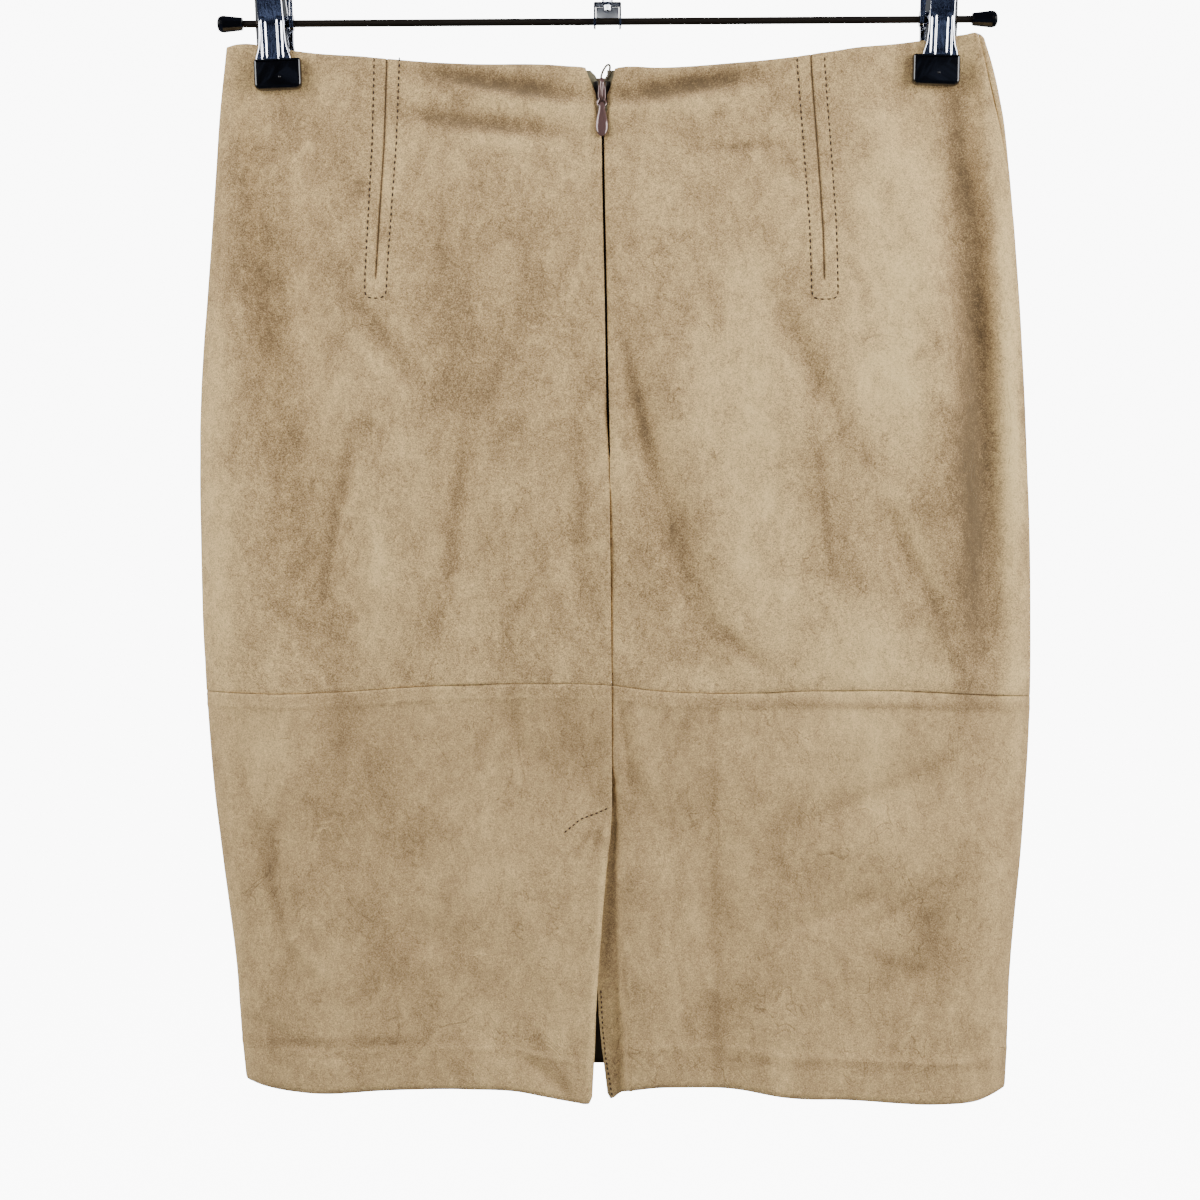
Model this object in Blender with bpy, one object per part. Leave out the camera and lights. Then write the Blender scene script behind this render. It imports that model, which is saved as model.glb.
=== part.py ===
"""Suede pencil skirt hanging from a metal clip hanger, seen from its zipped back.

The skirt is a tube of thin wall. Its back faces -Y, +X is to the right as the back is seen and +Z is
up. The origin is where the hanger's hook bears on a rod. Sizes below are in millimetres; the meshes
are in metres. The skirt's own heights are "drops", measured down from the middle of the waist.
"""

import math

import bmesh
import bpy
import numpy as np
from mathutils import Matrix, Vector

MM = 0.001

# Hanger
HOOK_INSIDE_RADIUS = 19.0
HOOK_WIRE = 3.4
HOOK_BACK_BEND = 12.0
BAR_BELOW_HOOK = 72.0
BAR_DIAMETER = 4.0
BAR_HALF_LENGTH = 205.0
BAR_RISE_PER_MM = 0.0066
CAP_LENGTH = 14.0
CAP_PAST_BAR = 9.5
CAP_OUTER_RADIUS = 4.7
CAP_INNER_RADIUS = 3.5
BRACKET_WIDTH = 15.1
BRACKET_DEPTH = 8.0
BRACKET_SHEET = 1.1
BRACKET_TOP_ABOVE_BAR = 10.0
BRACKET_FOOT_BELOW_BAR = 3.4
GAP = 0.3
PROBE = 0.2

# Spring clips: place along the bar, lean, and the sheet's shape as (height over the bar, distance
# from the middle, half width)
CLIP_LEFT_X = -182.0
CLIP_RIGHT_X = 181.0
CLIP_LEFT_LEAN = 2.5
CLIP_RIGHT_LEAN = -1.5
CLIP_SHEET = 1.0
CLIP_PROFILE = (
    (-19.0, 4.3, 10.8), (-15.0, 4.5, 9.4), (-8.0, 5.0, 8.1), (0.0, 5.9, 7.7), (4.0, 6.9, 7.6),
    (14.0, 10.3, 7.3), (24.0, 13.7, 7.0),
)
FLUTE_OFFSET = 4.4
FLUTE_HALF_WIDTH = 2.1
FLUTE_HEIGHT = 0.7
EAR_SHEET = 0.8
EAR_RADIUS = 4.2
FRONT_EAR_INSET = 0.7
BACK_EAR_INSET = 1.9
SPRING_RADIUS = 3.9
SPRING_HALF_LENGTH = 4.6
PAD_WIDTH = 26.0
PAD_HEIGHT = 16.6
PAD_THICKNESS = 4.6
PAD_ROUNDING = 1.9
PAD_TOP_BELOW_BAR = 19.2

# Cloth
WAIST_BELOW_BAR = 25.4
WALL = 1.4
HEM_WALL = 2.2
HEM_TURN_UP = 22.0
SEAM_GAP = 0.3
PINCHED_HALF = WALL + 0.2
LAYER_GAP = 0.65
JAW_EDGE = 14.2

# The skirt's outline down its length: half widths left and right of the hanger's middle, depths of
# the back and the front from the side seams, the run over which each side rounds off, and how far
# the right side seam is pulled round to the back
OUTLINE = {
    "drop": (-12, 0, 35, 67, 100, 133, 166, 199, 232, 265, 298, 331, 364, 397, 430, 463, 496, 529, 562),
    "left": (208.5, 209.6, 213.2, 215.3, 217.5, 219.9, 222.3, 223.5, 223.6, 223.2, 222.3, 220.6,
             218.4, 215.6, 211.6, 207.4, 203.6, 201.3, 198.0),
    "right": (202.5, 207.5, 216.8, 220.8, 223.8, 226.3, 228.2, 229.8, 231.1, 232.0, 232.4, 232.3,
              231.2, 229.2, 226.8, 223.6, 220.9, 219.7, 218.0),
    "back": (8.5, 9.5, 12.5, 16.5, 21.0, 25.0, 28.0, 30.0, 30.5, 30.5, 30.0, 29.0,
             28.0, 27.0, 26.5, 26.0, 26.0, 26.5, 27.0),
    "front": (7.5, 8.0, 10.0, 13.0, 16.0, 19.0, 21.5, 23.0, 24.0, 24.5, 24.5, 24.5,
              24.5, 24.5, 24.5, 24.5, 25.0, 25.5, 26.0),
    "round": (20.0, 22.0, 26.0, 31.0, 37.0, 43.0, 48.0, 52.0, 54.0, 55.0, 55.0, 55.0,
              55.0, 54.0, 53.0, 52.0, 52.0, 52.0, 52.0),
    "seam_roll": (6.0, 6.5, 6.5, 3.5, 1.5, 0.5, 0.0, 0.0, 0.0, 0.0, 0.0, 0.0,
                  0.0, 0.0, 0.0, 0.0, 0.0, 0.0, 0.0),
}
# Edges and seams across the back: place across, and drop
WAIST_LINE = {
    "x": (-208, -202, -182, -148, -112, -77, -34, -12, 4, 10, 28, 54, 89, 124, 159, 181, 196, 203, 208),
    "drop": (-11.0, -12.6, -10.2, -6.1, -2.3, -0.3, 0.0, 1.6, 2.2, 1.4, 1.6, 0.4, -2.6, -7.4, -12.8,
             -15.7, -17.9, -18.6, -15.0),
}
KNEE_SEAM = {
    "x": (-222, -169, -148, -97, -33, 2, 20, 54, 116, 162, 201, 232),
    "drop": (342.5, 343.5, 342.6, 339.2, 337.9, 338.6, 341.0, 343.0, 341.7, 341.8, 343.9, 345.2),
}
HEM_LINE = {
    "x": (-198, -190, -163, -111, -76, -50, -33, -16, -8.4, 1.3, 5.6, 9.9, 18.5, 44, 70, 96, 131,
          179, 201, 217),
    "drop": (555.0, 556.6, 559.4, 556.9, 556.2, 557.2, 560.4, 563.6, 564.7, 563.1, 560.4, 558.2,
             556.6, 555.5, 556.6, 561.0, 562.4, 565.3, 564.5, 560.0),
}
FRONT_WAIST_LINE = {
    "x": (-208, -202, -182, -90, 0, 90, 181, 196, 203, 208),
    "drop": (-11.0, -12.6, -10.2, 0.0, 4.0, -1.0, -15.7, -17.9, -18.6, -15.0),
}
FRONT_HEM_LINE = {
    "x": (-198, -190, -100, 0, 110, 201, 217),
    "drop": (555.0, 556.6, 554.0, 552.5, 556.0, 564.5, 560.0),
}

# The middle of the back: the two edges of the zip's opening, which meet as a seam under it
CENTRE_BACK = {
    "drop": (-3.0, 4.6, 9.0, 14.4, 19.9, 28.1, 40.0, 77.0, 130.0, 185.0, 212.0, 216.0, 338.0, 403.0),
    "left": (-12.8, -10.7, -8.5, -6.3, -5.8, -4.3, -3.05, -2.55, -1.45, -0.4, 0.55, 0.85, 2.15, 2.45),
    "right": (4.4, 3.3, 2.0, -0.2, 0.0, -1.2, -1.9, -1.4, -0.35, 0.7, 1.4, 1.15, 2.45, 2.75),
}
# The vent: the left panel's free edge, the crease where the right one tucks in under it, the edge
# of the part tucked under, and how deep it goes
VENT_TOP = 403.0
VENT = {
    "drop": (338.0, 380.0, 396.0, 403.0, 418.6, 440.7, 461.7, 494.5, 517.6, 535.4, 566.0),
    "edge": (2.15, 2.35, 2.4, 2.45, 1.5, -0.9, -2.5, -4.9, -6.3, -6.8, -8.6),
    "crease": (3.3, 3.3, 3.3, 3.3, 3.5, 3.8, 4.4, 6.3, 7.7, 8.3, 9.0),
    "under": (-22.0, -22.0, -22.0, -22.0, -24.0, -20.0, -14.0, -5.8, -5.0, -3.4, 0.7),
    "tuck": (0.0, 0.2, 1.2, 2.1, 2.5, 3.0, 3.6, 4.8, 5.6, 6.2, 6.8),
}
TUCK_RUN = 5.0

# Pull of the two clips on the cloth: how far it draws back and front together, where, and how wide
PINCH = {
    "drop": (-20, 18, 40, 70, 105, 150, 200, 260, 320, 400, 566),
    "pull": (1.0, 1.0, 0.86, 0.68, 0.56, 0.48, 0.40, 0.30, 0.18, 0.05, 0.0),
    "left_x": (-182, -182, -182, -181, -180, -177, -172, -163, -156, -150, -150),
    "right_x": (181, 181, 184, 190, 197, 203, 207, 209, 210, 210, 210),
    "flat": (17.0, 17.0, 11.0, 6.0, 3.0, 0.0, 0.0, 0.0, 0.0, 0.0, 0.0),
    "left_in": (34, 34, 32, 32, 34, 36, 38, 40, 40, 40, 40),
    "left_out": (12, 12, 15, 18, 22, 26, 30, 32, 34, 34, 34),
    "right_in": (30, 30, 30, 28, 26, 24, 23, 22, 22, 22, 22),
    "right_out": (12, 12, 14, 15, 16, 16, 17, 18, 18, 18, 18),
}
CROWN = 0.18

# Largest folds, from one end to the other as (x, drop): half width, and height out of the cloth
BACK_FOLDS = (
    # name, x0, drop0, x1, drop1, half width, height
    ("seat_right", 9, 160, 49, 308, 10, -3.6),
    ("seat_right_ridge", 27, 150, 70, 290, 13, 2.2),
    ("hip_right", 88, 130, 120, 200, 10, -3.0),
    ("thigh_right", 108, 222, 101, 280, 9, -2.2),
    ("side_right", 150, 245, 166, 285, 9, -1.8),
    ("waist_left", -105, 3, -22, 14, 7, -1.9),
    ("waist_left_low", -80, 27, -32, 36, 7, -1.8),
    ("waist_right", 6, 16, 85, 8, 7, -1.7),
    ("seat_left", -79, 190, -82, 290, 9, -3.0),
    ("middle_left", -27, 226, -14, 292, 9, -2.6),
    ("hip_left", -140, 212, -151, 272, 9, -2.0),
    ("knee_left", -48, 348, -46, 382, 8, -1.7),
    ("knee_middle", -13, 348, -12, 402, 9, -2.2),
    ("lower_right", 56, 428, 60, 556, 14, -3.4),
    ("lower_side_right", 112, 414, 178, 388, 12, -2.3),
    ("hem_side_right", 158, 505, 194, 466, 10, -2.3),
    ("lower_side_left", -182, 408, -184, 482, 12, -2.3),
    ("lower_left", -112, 472, -70, 480, 10, -1.9),
    ("right_valley", 196, 40, 206, 330, 10, -3.2),
    ("right_rise", 176, 60, 184, 300, 12, 1.6),
    ("left_valley", -184, 60, -150, 300, 12, -2.0),
)
FRONT_FOLDS = (
    ("seat_left", -92, 120, -64, 300, 12, -3.2),
    ("seat_right", 96, 110, 58, 310, 12, -3.4),
    ("middle", 8, 180, -4, 330, 12, -2.8),
    ("waist_left", -100, 6, -28, 20, 8, -1.8),
    ("waist_right", 26, 18, 104, 4, 8, -1.8),
    ("hip_left", -152, 200, -140, 300, 11, -2.2),
    ("knee", -30, 350, -24, 410, 10, -2.2),
    ("lower_left", -118, 430, -108, 552, 14, -2.8),
    ("lower_right", 70, 440, 84, 554, 14, -3.0),
    ("lower_side", 150, 400, 176, 470, 12, -2.2),
)

# Zip
TAPE_WIDTH = 13.0
TAPE_SHEET = 0.7
TAPE_SPREAD = 27.0
CHAIN_HALF_WIDTH = 1.15
CHAIN_DEPTH = 1.6
ZIP_END = 216.0
SLIDER_X = -3.1
SLIDER_TOP = 10.6
SLIDER_LENGTH = 10.4
SLIDER_WIDTH = 4.2
SLIDER_DEPTH = 3.4
BRIDGE_TOP = 9.0
BRIDGE_WIDTH = 1.0
BRIDGE_BAR = 1.0
BRIDGE_CROWN_WIDTH = 2.6
BRIDGE_CROWN_LENGTH = 5.0
PULL_AXIS_DROP = 18.2
PULL_EYE_RADIUS = 1.7
PULL_EYE_WIRE = 0.5
# The drop-shaped pull: distance from its axis, half width, half thickness
PULL_PROFILE = (
    (3.5, 0.75, 0.55), (6.0, 1.05, 0.6), (8.5, 1.5, 0.75), (11.0, 2.15, 0.95), (14.0, 2.7, 1.15),
    (17.0, 2.85, 1.2), (19.5, 2.5, 1.05), (21.3, 1.75, 0.75), (22.3, 0.8, 0.4),
)
PULL_CLEARANCE = 0.45
EYE_X = 0.9
EYE_DROP = -0.2
EYE_WIRE = 0.45
EYE_RADIUS = 2.3

SUEDE = (0.45, 0.34, 0.22)
TAPE = (0.20, 0.19, 0.15)
MAUVE = (0.25, 0.17, 0.17)
BRONZE = (0.035, 0.030, 0.025)
CHROME = (0.60, 0.60, 0.62)
BLACK_VINYL = (0.006, 0.006, 0.007)


def clear_scene():
    for thing in list(bpy.data.objects):
        bpy.data.objects.remove(thing, do_unlink=True)


def finish(name, colour, roughness, metallic=0.0):
    """A plain material for one part."""
    made = bpy.data.materials.new(name)
    made.use_nodes = True
    shader = made.node_tree.nodes["Principled BSDF"]
    shader.inputs["Base Color"].default_value = (*colour, 1.0)
    shader.inputs["Roughness"].default_value = roughness
    shader.inputs["Metallic"].default_value = metallic
    return made


def place(name, mesh, look, smooth=True):
    """Puts a finished bmesh into the scene as one named object."""
    data = bpy.data.meshes.new(name)
    mesh.to_mesh(data)
    mesh.free()
    if smooth:
        data.shade_smooth()
        data.set_sharp_from_angle(angle=math.radians(40))
    data.materials.append(look)
    made = bpy.data.objects.new(name, data)
    bpy.context.collection.objects.link(made)
    return made


def as_helper(thing):
    """A cutter or a piece that a Boolean uses up."""
    thing.hide_render = True
    thing.display_type = "WIRE"
    return thing


def boolean(thing, operation, helper):
    step = thing.modifiers.new(helper.name, "BOOLEAN")
    step.operation = operation
    step.solver = "EXACT"
    step.object = as_helper(helper)


# The skirt's form

def smooth_through(keys, values, at):
    """A smooth curve through the values given at the keys."""
    keys = np.asarray(keys, float)
    values = np.asarray(values, float)
    slopes = np.gradient(values, keys)
    at = np.clip(at, keys[0], keys[-1])
    row = np.clip(np.searchsorted(keys, at, side="right") - 1, 0, len(keys) - 2)
    span = keys[row + 1] - keys[row]
    t = (at - keys[row]) / span
    ends = values[row] * (1 + 2 * t) * (1 - t) ** 2 + values[row + 1] * t**2 * (3 - 2 * t)
    return ends + span * t * (1 - t) * (slopes[row] * (1 - t) - slopes[row + 1] * t)


def read(table, column, at, key="drop"):
    return smooth_through(table[key], table[column], at)


def line_drop(table, x):
    return read(table, "drop", x, key="x")


def straight(table, column, drop):
    """Corners in this column stay corners."""
    return np.interp(drop, table["drop"], table[column])


def ease(t):
    t = np.clip(t, 0.0, 1.0)
    return t * t * (3 - 2 * t)


def ring(drop, samples=721):
    """The skirt's plain outline at one height, from the left end round the back and the front.

    Returns the length round it, x and y of each sample; the back half comes first.
    """
    left, right = read(OUTLINE, "left", drop), read(OUTLINE, "right", drop)
    half = (left + right) / 2
    turn = np.linspace(0, math.pi, samples)
    across = -np.cos(turn)
    x = (right - left) / 2 + across * half
    from_end = np.clip(half * (1 - np.abs(across)) / read(OUTLINE, "round", drop), 0, 1)
    depth = np.sqrt(1 - (1 - from_end) ** 2) * (1 - CROWN * across**2)
    x = np.concatenate([x, x[::-1][1:]])
    back, front = read(OUTLINE, "back", drop), read(OUTLINE, "front", drop)
    y = np.concatenate([-back * depth, front * depth[::-1][1:]])
    length = np.concatenate([[0.0], np.cumsum(np.hypot(np.diff(x), np.diff(y)))])
    return length, x, y


def fold_height(folds, x, drop):
    """Height of all the folds at a place: soft across, fading out at both ends."""
    height = np.zeros_like(x)
    for _, x0, drop0, x1, drop1, half_width, rise in folds:
        run, fall = x1 - x0, drop1 - drop0
        length = math.hypot(run, fall)
        along = ((x - x0) * run + (drop - drop0) * fall) / length
        across = ((x - x0) * fall - (drop - drop0) * run) / length
        fade = 0.35 * length
        ends = ease((along + fade) / (2 * fade)) * ease((length + fade - along) / (2 * fade))
        height += rise * ends * np.exp(-((across / half_width) ** 2))
    return height


def pinch(x, drop):
    """How far the clips draw the cloth in: 1 where they hold it, 0 where it hangs free."""
    flat = read(PINCH, "flat", drop)
    drawn = np.zeros_like(x)
    for side, inwards in (("left", 1), ("right", -1)):
        off = (x - read(PINCH, side + "_x", drop)) * inwards
        run = np.where(off > 0, read(PINCH, side + "_in", drop), read(PINCH, side + "_out", drop))
        drawn = np.maximum(drawn, 1 - ease((np.abs(off) - flat) / run))
    return np.clip(read(PINCH, "pull", drop), 0, 1) * drawn


def tuck(x, drop):
    """Depth by which the right lower panel goes in under the left one at the vent."""
    run = (straight(VENT, "crease", drop) + TUCK_RUN - 1 - x) / TUCK_RUN
    return straight(VENT, "tuck", drop) * ease(run)


def drape(x, y, drop):
    """Moves points of the plain outline to where the clips and the folds take them."""
    side = np.where(y > 0, 1.0, -1.0)
    depth = np.abs(y)
    full = np.where(y > 0, read(OUTLINE, "front", drop), read(OUTLINE, "back", drop))
    folds = np.where(y > 0, fold_height(FRONT_FOLDS, x, drop), fold_height(BACK_FOLDS, x, drop))
    held = pinch(x, drop)
    open_depth = depth + folds * ease(depth / full / 0.8)
    return side * (open_depth * (1 - held) + np.minimum(depth, PINCHED_HALF) * held)


def row_points(at, drop, ends, lines, shift):
    """Points of one row: at are lengths round the ring, ends the first and last rows' drops."""
    length, ring_x, ring_y = ring(drop)
    x = np.interp(at, length, ring_x, period=length[-1])
    y = np.interp(at, length, ring_y, period=length[-1])
    share = (drop - ends[0]) / (ends[1] - ends[0])
    real_drop = line_drop(lines[0], x) * (1 - share) + line_drop(lines[1], x) * share
    return np.stack([x, drape(x, y, real_drop) + shift(x, real_drop), -real_drop], axis=-1)


def drape_rows(drops, starts, ends, lines, spacing, shift=lambda x, drop: 0.0):
    """Points of one panel, a row for each height, and how each one faces."""
    points, facing = [], []
    span = (drops[0], drops[-1])
    for drop in drops:
        length = ring(drop)[0]
        at = starts(drop, length) + (ends(drop, length) - starts(drop, length)) * spacing
        points.append(row_points(at, drop, span, lines, shift))
        along = (row_points(at + PROBE, drop, span, lines, shift)
                 - row_points(at - PROBE, drop, span, lines, shift))
        down = (row_points(at, drop + PROBE, span, lines, shift)
                - row_points(at, drop - PROBE, span, lines, shift))
        out = np.cross(down, along)
        facing.append(out / np.linalg.norm(out, axis=-1, keepdims=True))
    return np.array(points), np.array(facing)


def to_world(points):
    """Millimetres from the middle of the waist to metres in the hanger's frame."""
    return (points - np.array([0.0, 0.0, BAR_BELOW_HOOK + WAIST_BELOW_BAR])) * MM


def wall_mesh(points, facing, wall, outset=0.0, cut=None):
    """A closed wall under a grid of points, the first row on top: wall is its thickness.

    Outset moves the outer face out of the cloth, and cut takes faces away by their middle.
    """
    rows, columns = points.shape[:2]
    mesh = bmesh.new()
    bmesh.ops.create_grid(mesh, x_segments=columns - 1, y_segments=rows - 1, size=1.0)
    order = sorted(mesh.verts, key=lambda v: (-round(v.co.y, 5), round(v.co.x, 5)))
    wall = np.broadcast_to(np.asarray(wall)[..., None], points.shape[:2] + (1,))
    outer = to_world(points + facing * outset).reshape(-1, 3)
    inner = to_world(points + facing * (outset - wall)).reshape(-1, 3)
    inside = {}
    for vert, outer_at, inner_at in zip(order, outer, inner):
        vert.co = outer_at
        inside[vert] = mesh.verts.new(inner_at)
    if cut is not None:
        gone = [face for face in mesh.faces if cut(face.calc_center_median() / MM)]
        bmesh.ops.delete(mesh, geom=gone, context="FACES")
    for face in list(mesh.faces):
        mesh.faces.new([inside[vert] for vert in reversed(face.verts)])
    for edge in [edge for edge in mesh.edges if edge.is_boundary and edge.verts[0] in inside]:
        start, end = (edge.link_loops[0].vert, edge.link_loops[0].link_loop_next.vert)
        mesh.faces.new([end, start, inside[start], inside[end]])
    loose = [vert for vert in mesh.verts if not vert.link_faces]
    bmesh.ops.delete(mesh, geom=loose, context="VERTS")
    mesh.normal_update()
    return mesh


def hem_wall(points, hem_line):
    """Thickness of each point of a lower panel: the turned-up hem is thicker."""
    above = line_drop(hem_line, points[..., 0]) + points[..., 2]
    return np.where(above < HEM_TURN_UP, HEM_WALL, WALL)


def back_at(x_of_drop, shift=0.0):
    """Turns a place across the back into a length round the ring."""
    def at(drop, length):
        _, ring_x, _ = ring(drop)
        half = len(ring_x) // 2 + 1
        return np.interp(x_of_drop(drop) + shift, ring_x[:half], length[:half])
    return at


def side_seam(which, shift):
    """The side seams as lengths round the ring."""
    def at(drop, length):
        if which == "left":
            return shift if shift > 0 else length[-1] + shift
        return length[len(length) // 2] - read(OUTLINE, "seam_roll", drop) + shift
    return at


UPPER_DROPS = np.concatenate([[0, 4, 11, 20], np.linspace(30, 338, 18)])
LOWER_DROPS = np.concatenate([np.linspace(338, VENT_TOP, 5), np.linspace(VENT_TOP, 560, 12)[1:]])
BACK_COLUMNS = 20
FRONT_COLUMNS = 24
UNDER_COLUMNS = 3
HALF_SEAM = SEAM_GAP / 2


def lowered(line, by):
    return {"x": line["x"], "drop": tuple(value + by for value in line["drop"])}


def from_side(columns):
    """Columns close together where the cloth turns round the side, wider towards the middle."""
    return np.linspace(0, 1, columns + 1) ** 1.35


def from_both_sides(columns):
    t = np.linspace(-1, 1, columns + 1)
    return 0.5 + 0.5 * np.sign(t) * (1 - (1 - np.abs(t)) ** 1.35)


def snapped_to_jaws(spacing, starts, ends):
    """Moves the nearest columns to the edges of the clips' jaws, so that the cloth is flat there."""
    length, ring_x, _ = ring(0)
    half = len(ring_x) // 2
    first, last = starts(0, length), ends(0, length)
    spacing = spacing.copy()
    for clip_x in (CLIP_LEFT_X, CLIP_RIGHT_X):
        for x in (clip_x - JAW_EDGE, clip_x + JAW_EDGE):
            on_the_back = np.interp(x, ring_x[:half], length[:half])
            on_the_front = np.interp(-x, -ring_x[half:], length[half:])
            for at in (on_the_back, on_the_front):
                share = (at - first) / (last - first)
                if 0 < share < 1:
                    spacing[np.argmin(np.abs(spacing - share))] = share
    return spacing


def upper_back(look):
    spacing = from_side(BACK_COLUMNS)
    lines = (WAIST_LINE, lowered(KNEE_SEAM, -HALF_SEAM))
    left_end = back_at(lambda drop: straight(CENTRE_BACK, "left", drop))
    left_start, right_end = side_seam("left", HALF_SEAM), side_seam("right", -HALF_SEAM)
    left = drape_rows(UPPER_DROPS, left_start, left_end, lines,
                      snapped_to_jaws(spacing, left_start, left_end))
    place("back_upper_left", wall_mesh(*left, WALL), look)
    right_start = back_at(lambda drop: straight(CENTRE_BACK, "right", drop))
    right = drape_rows(UPPER_DROPS, right_start, right_end, lines,
                       snapped_to_jaws(1 - spacing[::-1], right_start, right_end))
    place("back_upper_right", wall_mesh(*right, WALL), look)
    return np.concatenate([left[0], right[0]], axis=1)


def over_the_vent(middle):
    """Where the strip that tucks under has not begun yet."""
    drop = -middle.z - BAR_BELOW_HOOK - WAIST_BELOW_BAR
    return drop < VENT_TOP + 1 and middle.x < straight(CENTRE_BACK, "right", drop)


def lower_back(look):
    spacing = from_side(BACK_COLUMNS)
    lines = (lowered(KNEE_SEAM, HALF_SEAM), HEM_LINE)
    left_end = back_at(lambda drop: straight(VENT, "edge", drop))
    left = drape_rows(LOWER_DROPS, side_seam("left", HALF_SEAM), left_end, lines, spacing)
    place("back_lower_left", wall_mesh(*left, hem_wall(left[0], HEM_LINE)), look)

    joined_at = back_at(lambda drop: straight(CENTRE_BACK, "right", drop))
    free_at = back_at(lambda drop: straight(VENT, "under", drop))
    right_end = side_seam("right", -HALF_SEAM)
    main = drape_rows(LOWER_DROPS, joined_at, right_end, lines, 1 - spacing[::-1], tuck)
    tucked = drape_rows(LOWER_DROPS, free_at, joined_at, lines,
                        np.linspace(0, 1, UNDER_COLUMNS + 1), tuck)
    right = [np.concatenate([under[:, :-1], rest], axis=1) for under, rest in zip(tucked, main)]
    mesh = wall_mesh(*right, hem_wall(right[0], HEM_LINE), cut=over_the_vent)
    place("back_lower_right", mesh, look)


def front(look):
    spacing = from_both_sides(FRONT_COLUMNS)
    start, end = side_seam("right", HALF_SEAM), side_seam("left", -HALF_SEAM)
    upper = drape_rows(UPPER_DROPS, start, end,
                       (FRONT_WAIST_LINE, lowered(KNEE_SEAM, -HALF_SEAM)),
                       snapped_to_jaws(spacing, start, end))
    place("front_upper", wall_mesh(*upper, WALL), look)
    lower = drape_rows(LOWER_DROPS, start, end,
                       (lowered(KNEE_SEAM, HALF_SEAM), FRONT_HEM_LINE), spacing)
    place("front_lower", wall_mesh(*lower, hem_wall(lower[0], FRONT_HEM_LINE)), look)


# Zip

def on_back(rows, x, drop):
    """The back's outer face at a place, read from the rows of points that its panels are made of."""
    drops = [-np.interp(x, row[:, 0], row[:, 2]) for row in rows]
    outs = [np.interp(x, row[:, 0], row[:, 1]) for row in rows]
    return np.array([x, np.interp(drop, drops, outs), -drop])


def strip(name, rows, left_edge, right_edge, drops, columns, wall, look):
    """A flat piece lying inside the back, between two edges given as functions of the drop."""
    points = np.array([
        [on_back(rows, x, drop) for x in np.linspace(left_edge(drop), right_edge(drop), columns)]
        for drop in drops
    ])
    facing = np.broadcast_to(np.array([0.0, -1.0, 0.0]), points.shape)
    return place(name, wall_mesh(points, facing, wall, -(WALL + LAYER_GAP)), look)


def chain_middle(drop):
    left, right = straight(CENTRE_BACK, "left", drop), straight(CENTRE_BACK, "right", drop)
    return (left + right) / 2


def tape_edge(side):
    """The tape's inner edge: beside the chain, and clear of the slider above it."""
    def at(drop):
        reach = np.interp(drop, (TAPE_SPREAD - 4, TAPE_SPREAD), (2.8, CHAIN_HALF_WIDTH + GAP + 0.15))
        spread_to = np.interp(drop, (0, TAPE_SPREAD), (SLIDER_X, chain_middle(TAPE_SPREAD)))
        return (spread_to if drop < TAPE_SPREAD else chain_middle(drop)) + side * reach
    return at


def tape_outer_edge(side):
    reach = TAPE_WIDTH + CHAIN_HALF_WIDTH
    return lambda drop: chain_middle(max(drop, TAPE_SPREAD)) + side * reach


def zip_pieces(rows, tape_look, metal):
    below = UPPER_DROPS[(UPPER_DROPS > TAPE_SPREAD + 3) & (UPPER_DROPS < ZIP_END + 14)]
    drops = np.concatenate([[3.0, 11.0, TAPE_SPREAD - 4, TAPE_SPREAD], below])
    strip("zip_tape_left", rows, tape_outer_edge(-1), tape_edge(-1), drops, 3, TAPE_SHEET, tape_look)
    strip("zip_tape_right", rows, tape_edge(1), tape_outer_edge(1), drops, 3, TAPE_SHEET, tape_look)
    strip("zip_chain", rows, lambda drop: chain_middle(drop) - CHAIN_HALF_WIDTH,
          lambda drop: chain_middle(drop) + CHAIN_HALF_WIDTH,
          np.linspace(SLIDER_TOP + SLIDER_LENGTH + 2 * GAP, ZIP_END - 1, 16), 2, CHAIN_DEPTH, tape_look)
    face = slider_face(rows)
    slider(face, metal)
    pull(rows, face, metal)
    waist_eye(rows, metal)


def block(name, size, middle, look, edge=0.0, segments=2):
    """A box with rounded edges; size and middle in millimetres."""
    mesh = bmesh.new()
    bmesh.ops.create_cube(mesh, size=1.0)
    bmesh.ops.scale(mesh, vec=Vector(size) * MM, verts=mesh.verts)
    if edge:
        bmesh.ops.bevel(mesh, geom=mesh.edges[:], offset=edge * MM, affect="EDGES",
                        segments=segments, profile=0.5, material=-1)
    bmesh.ops.translate(mesh, vec=Vector(middle) * MM, verts=mesh.verts)
    return place(name, mesh, look)


def height_of(drop):
    return -BAR_BELOW_HOOK - WAIST_BELOW_BAR - drop


def slider_face(rows):
    """How far out the slider's front lies: level with the cloth beside it."""
    return on_back(rows, SLIDER_X, PULL_AXIS_DROP)[1] - 0.2


def axis_out(face):
    """The pull's axis lies just in front of the slider's face."""
    return face - PULL_EYE_WIRE - 0.4


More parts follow.
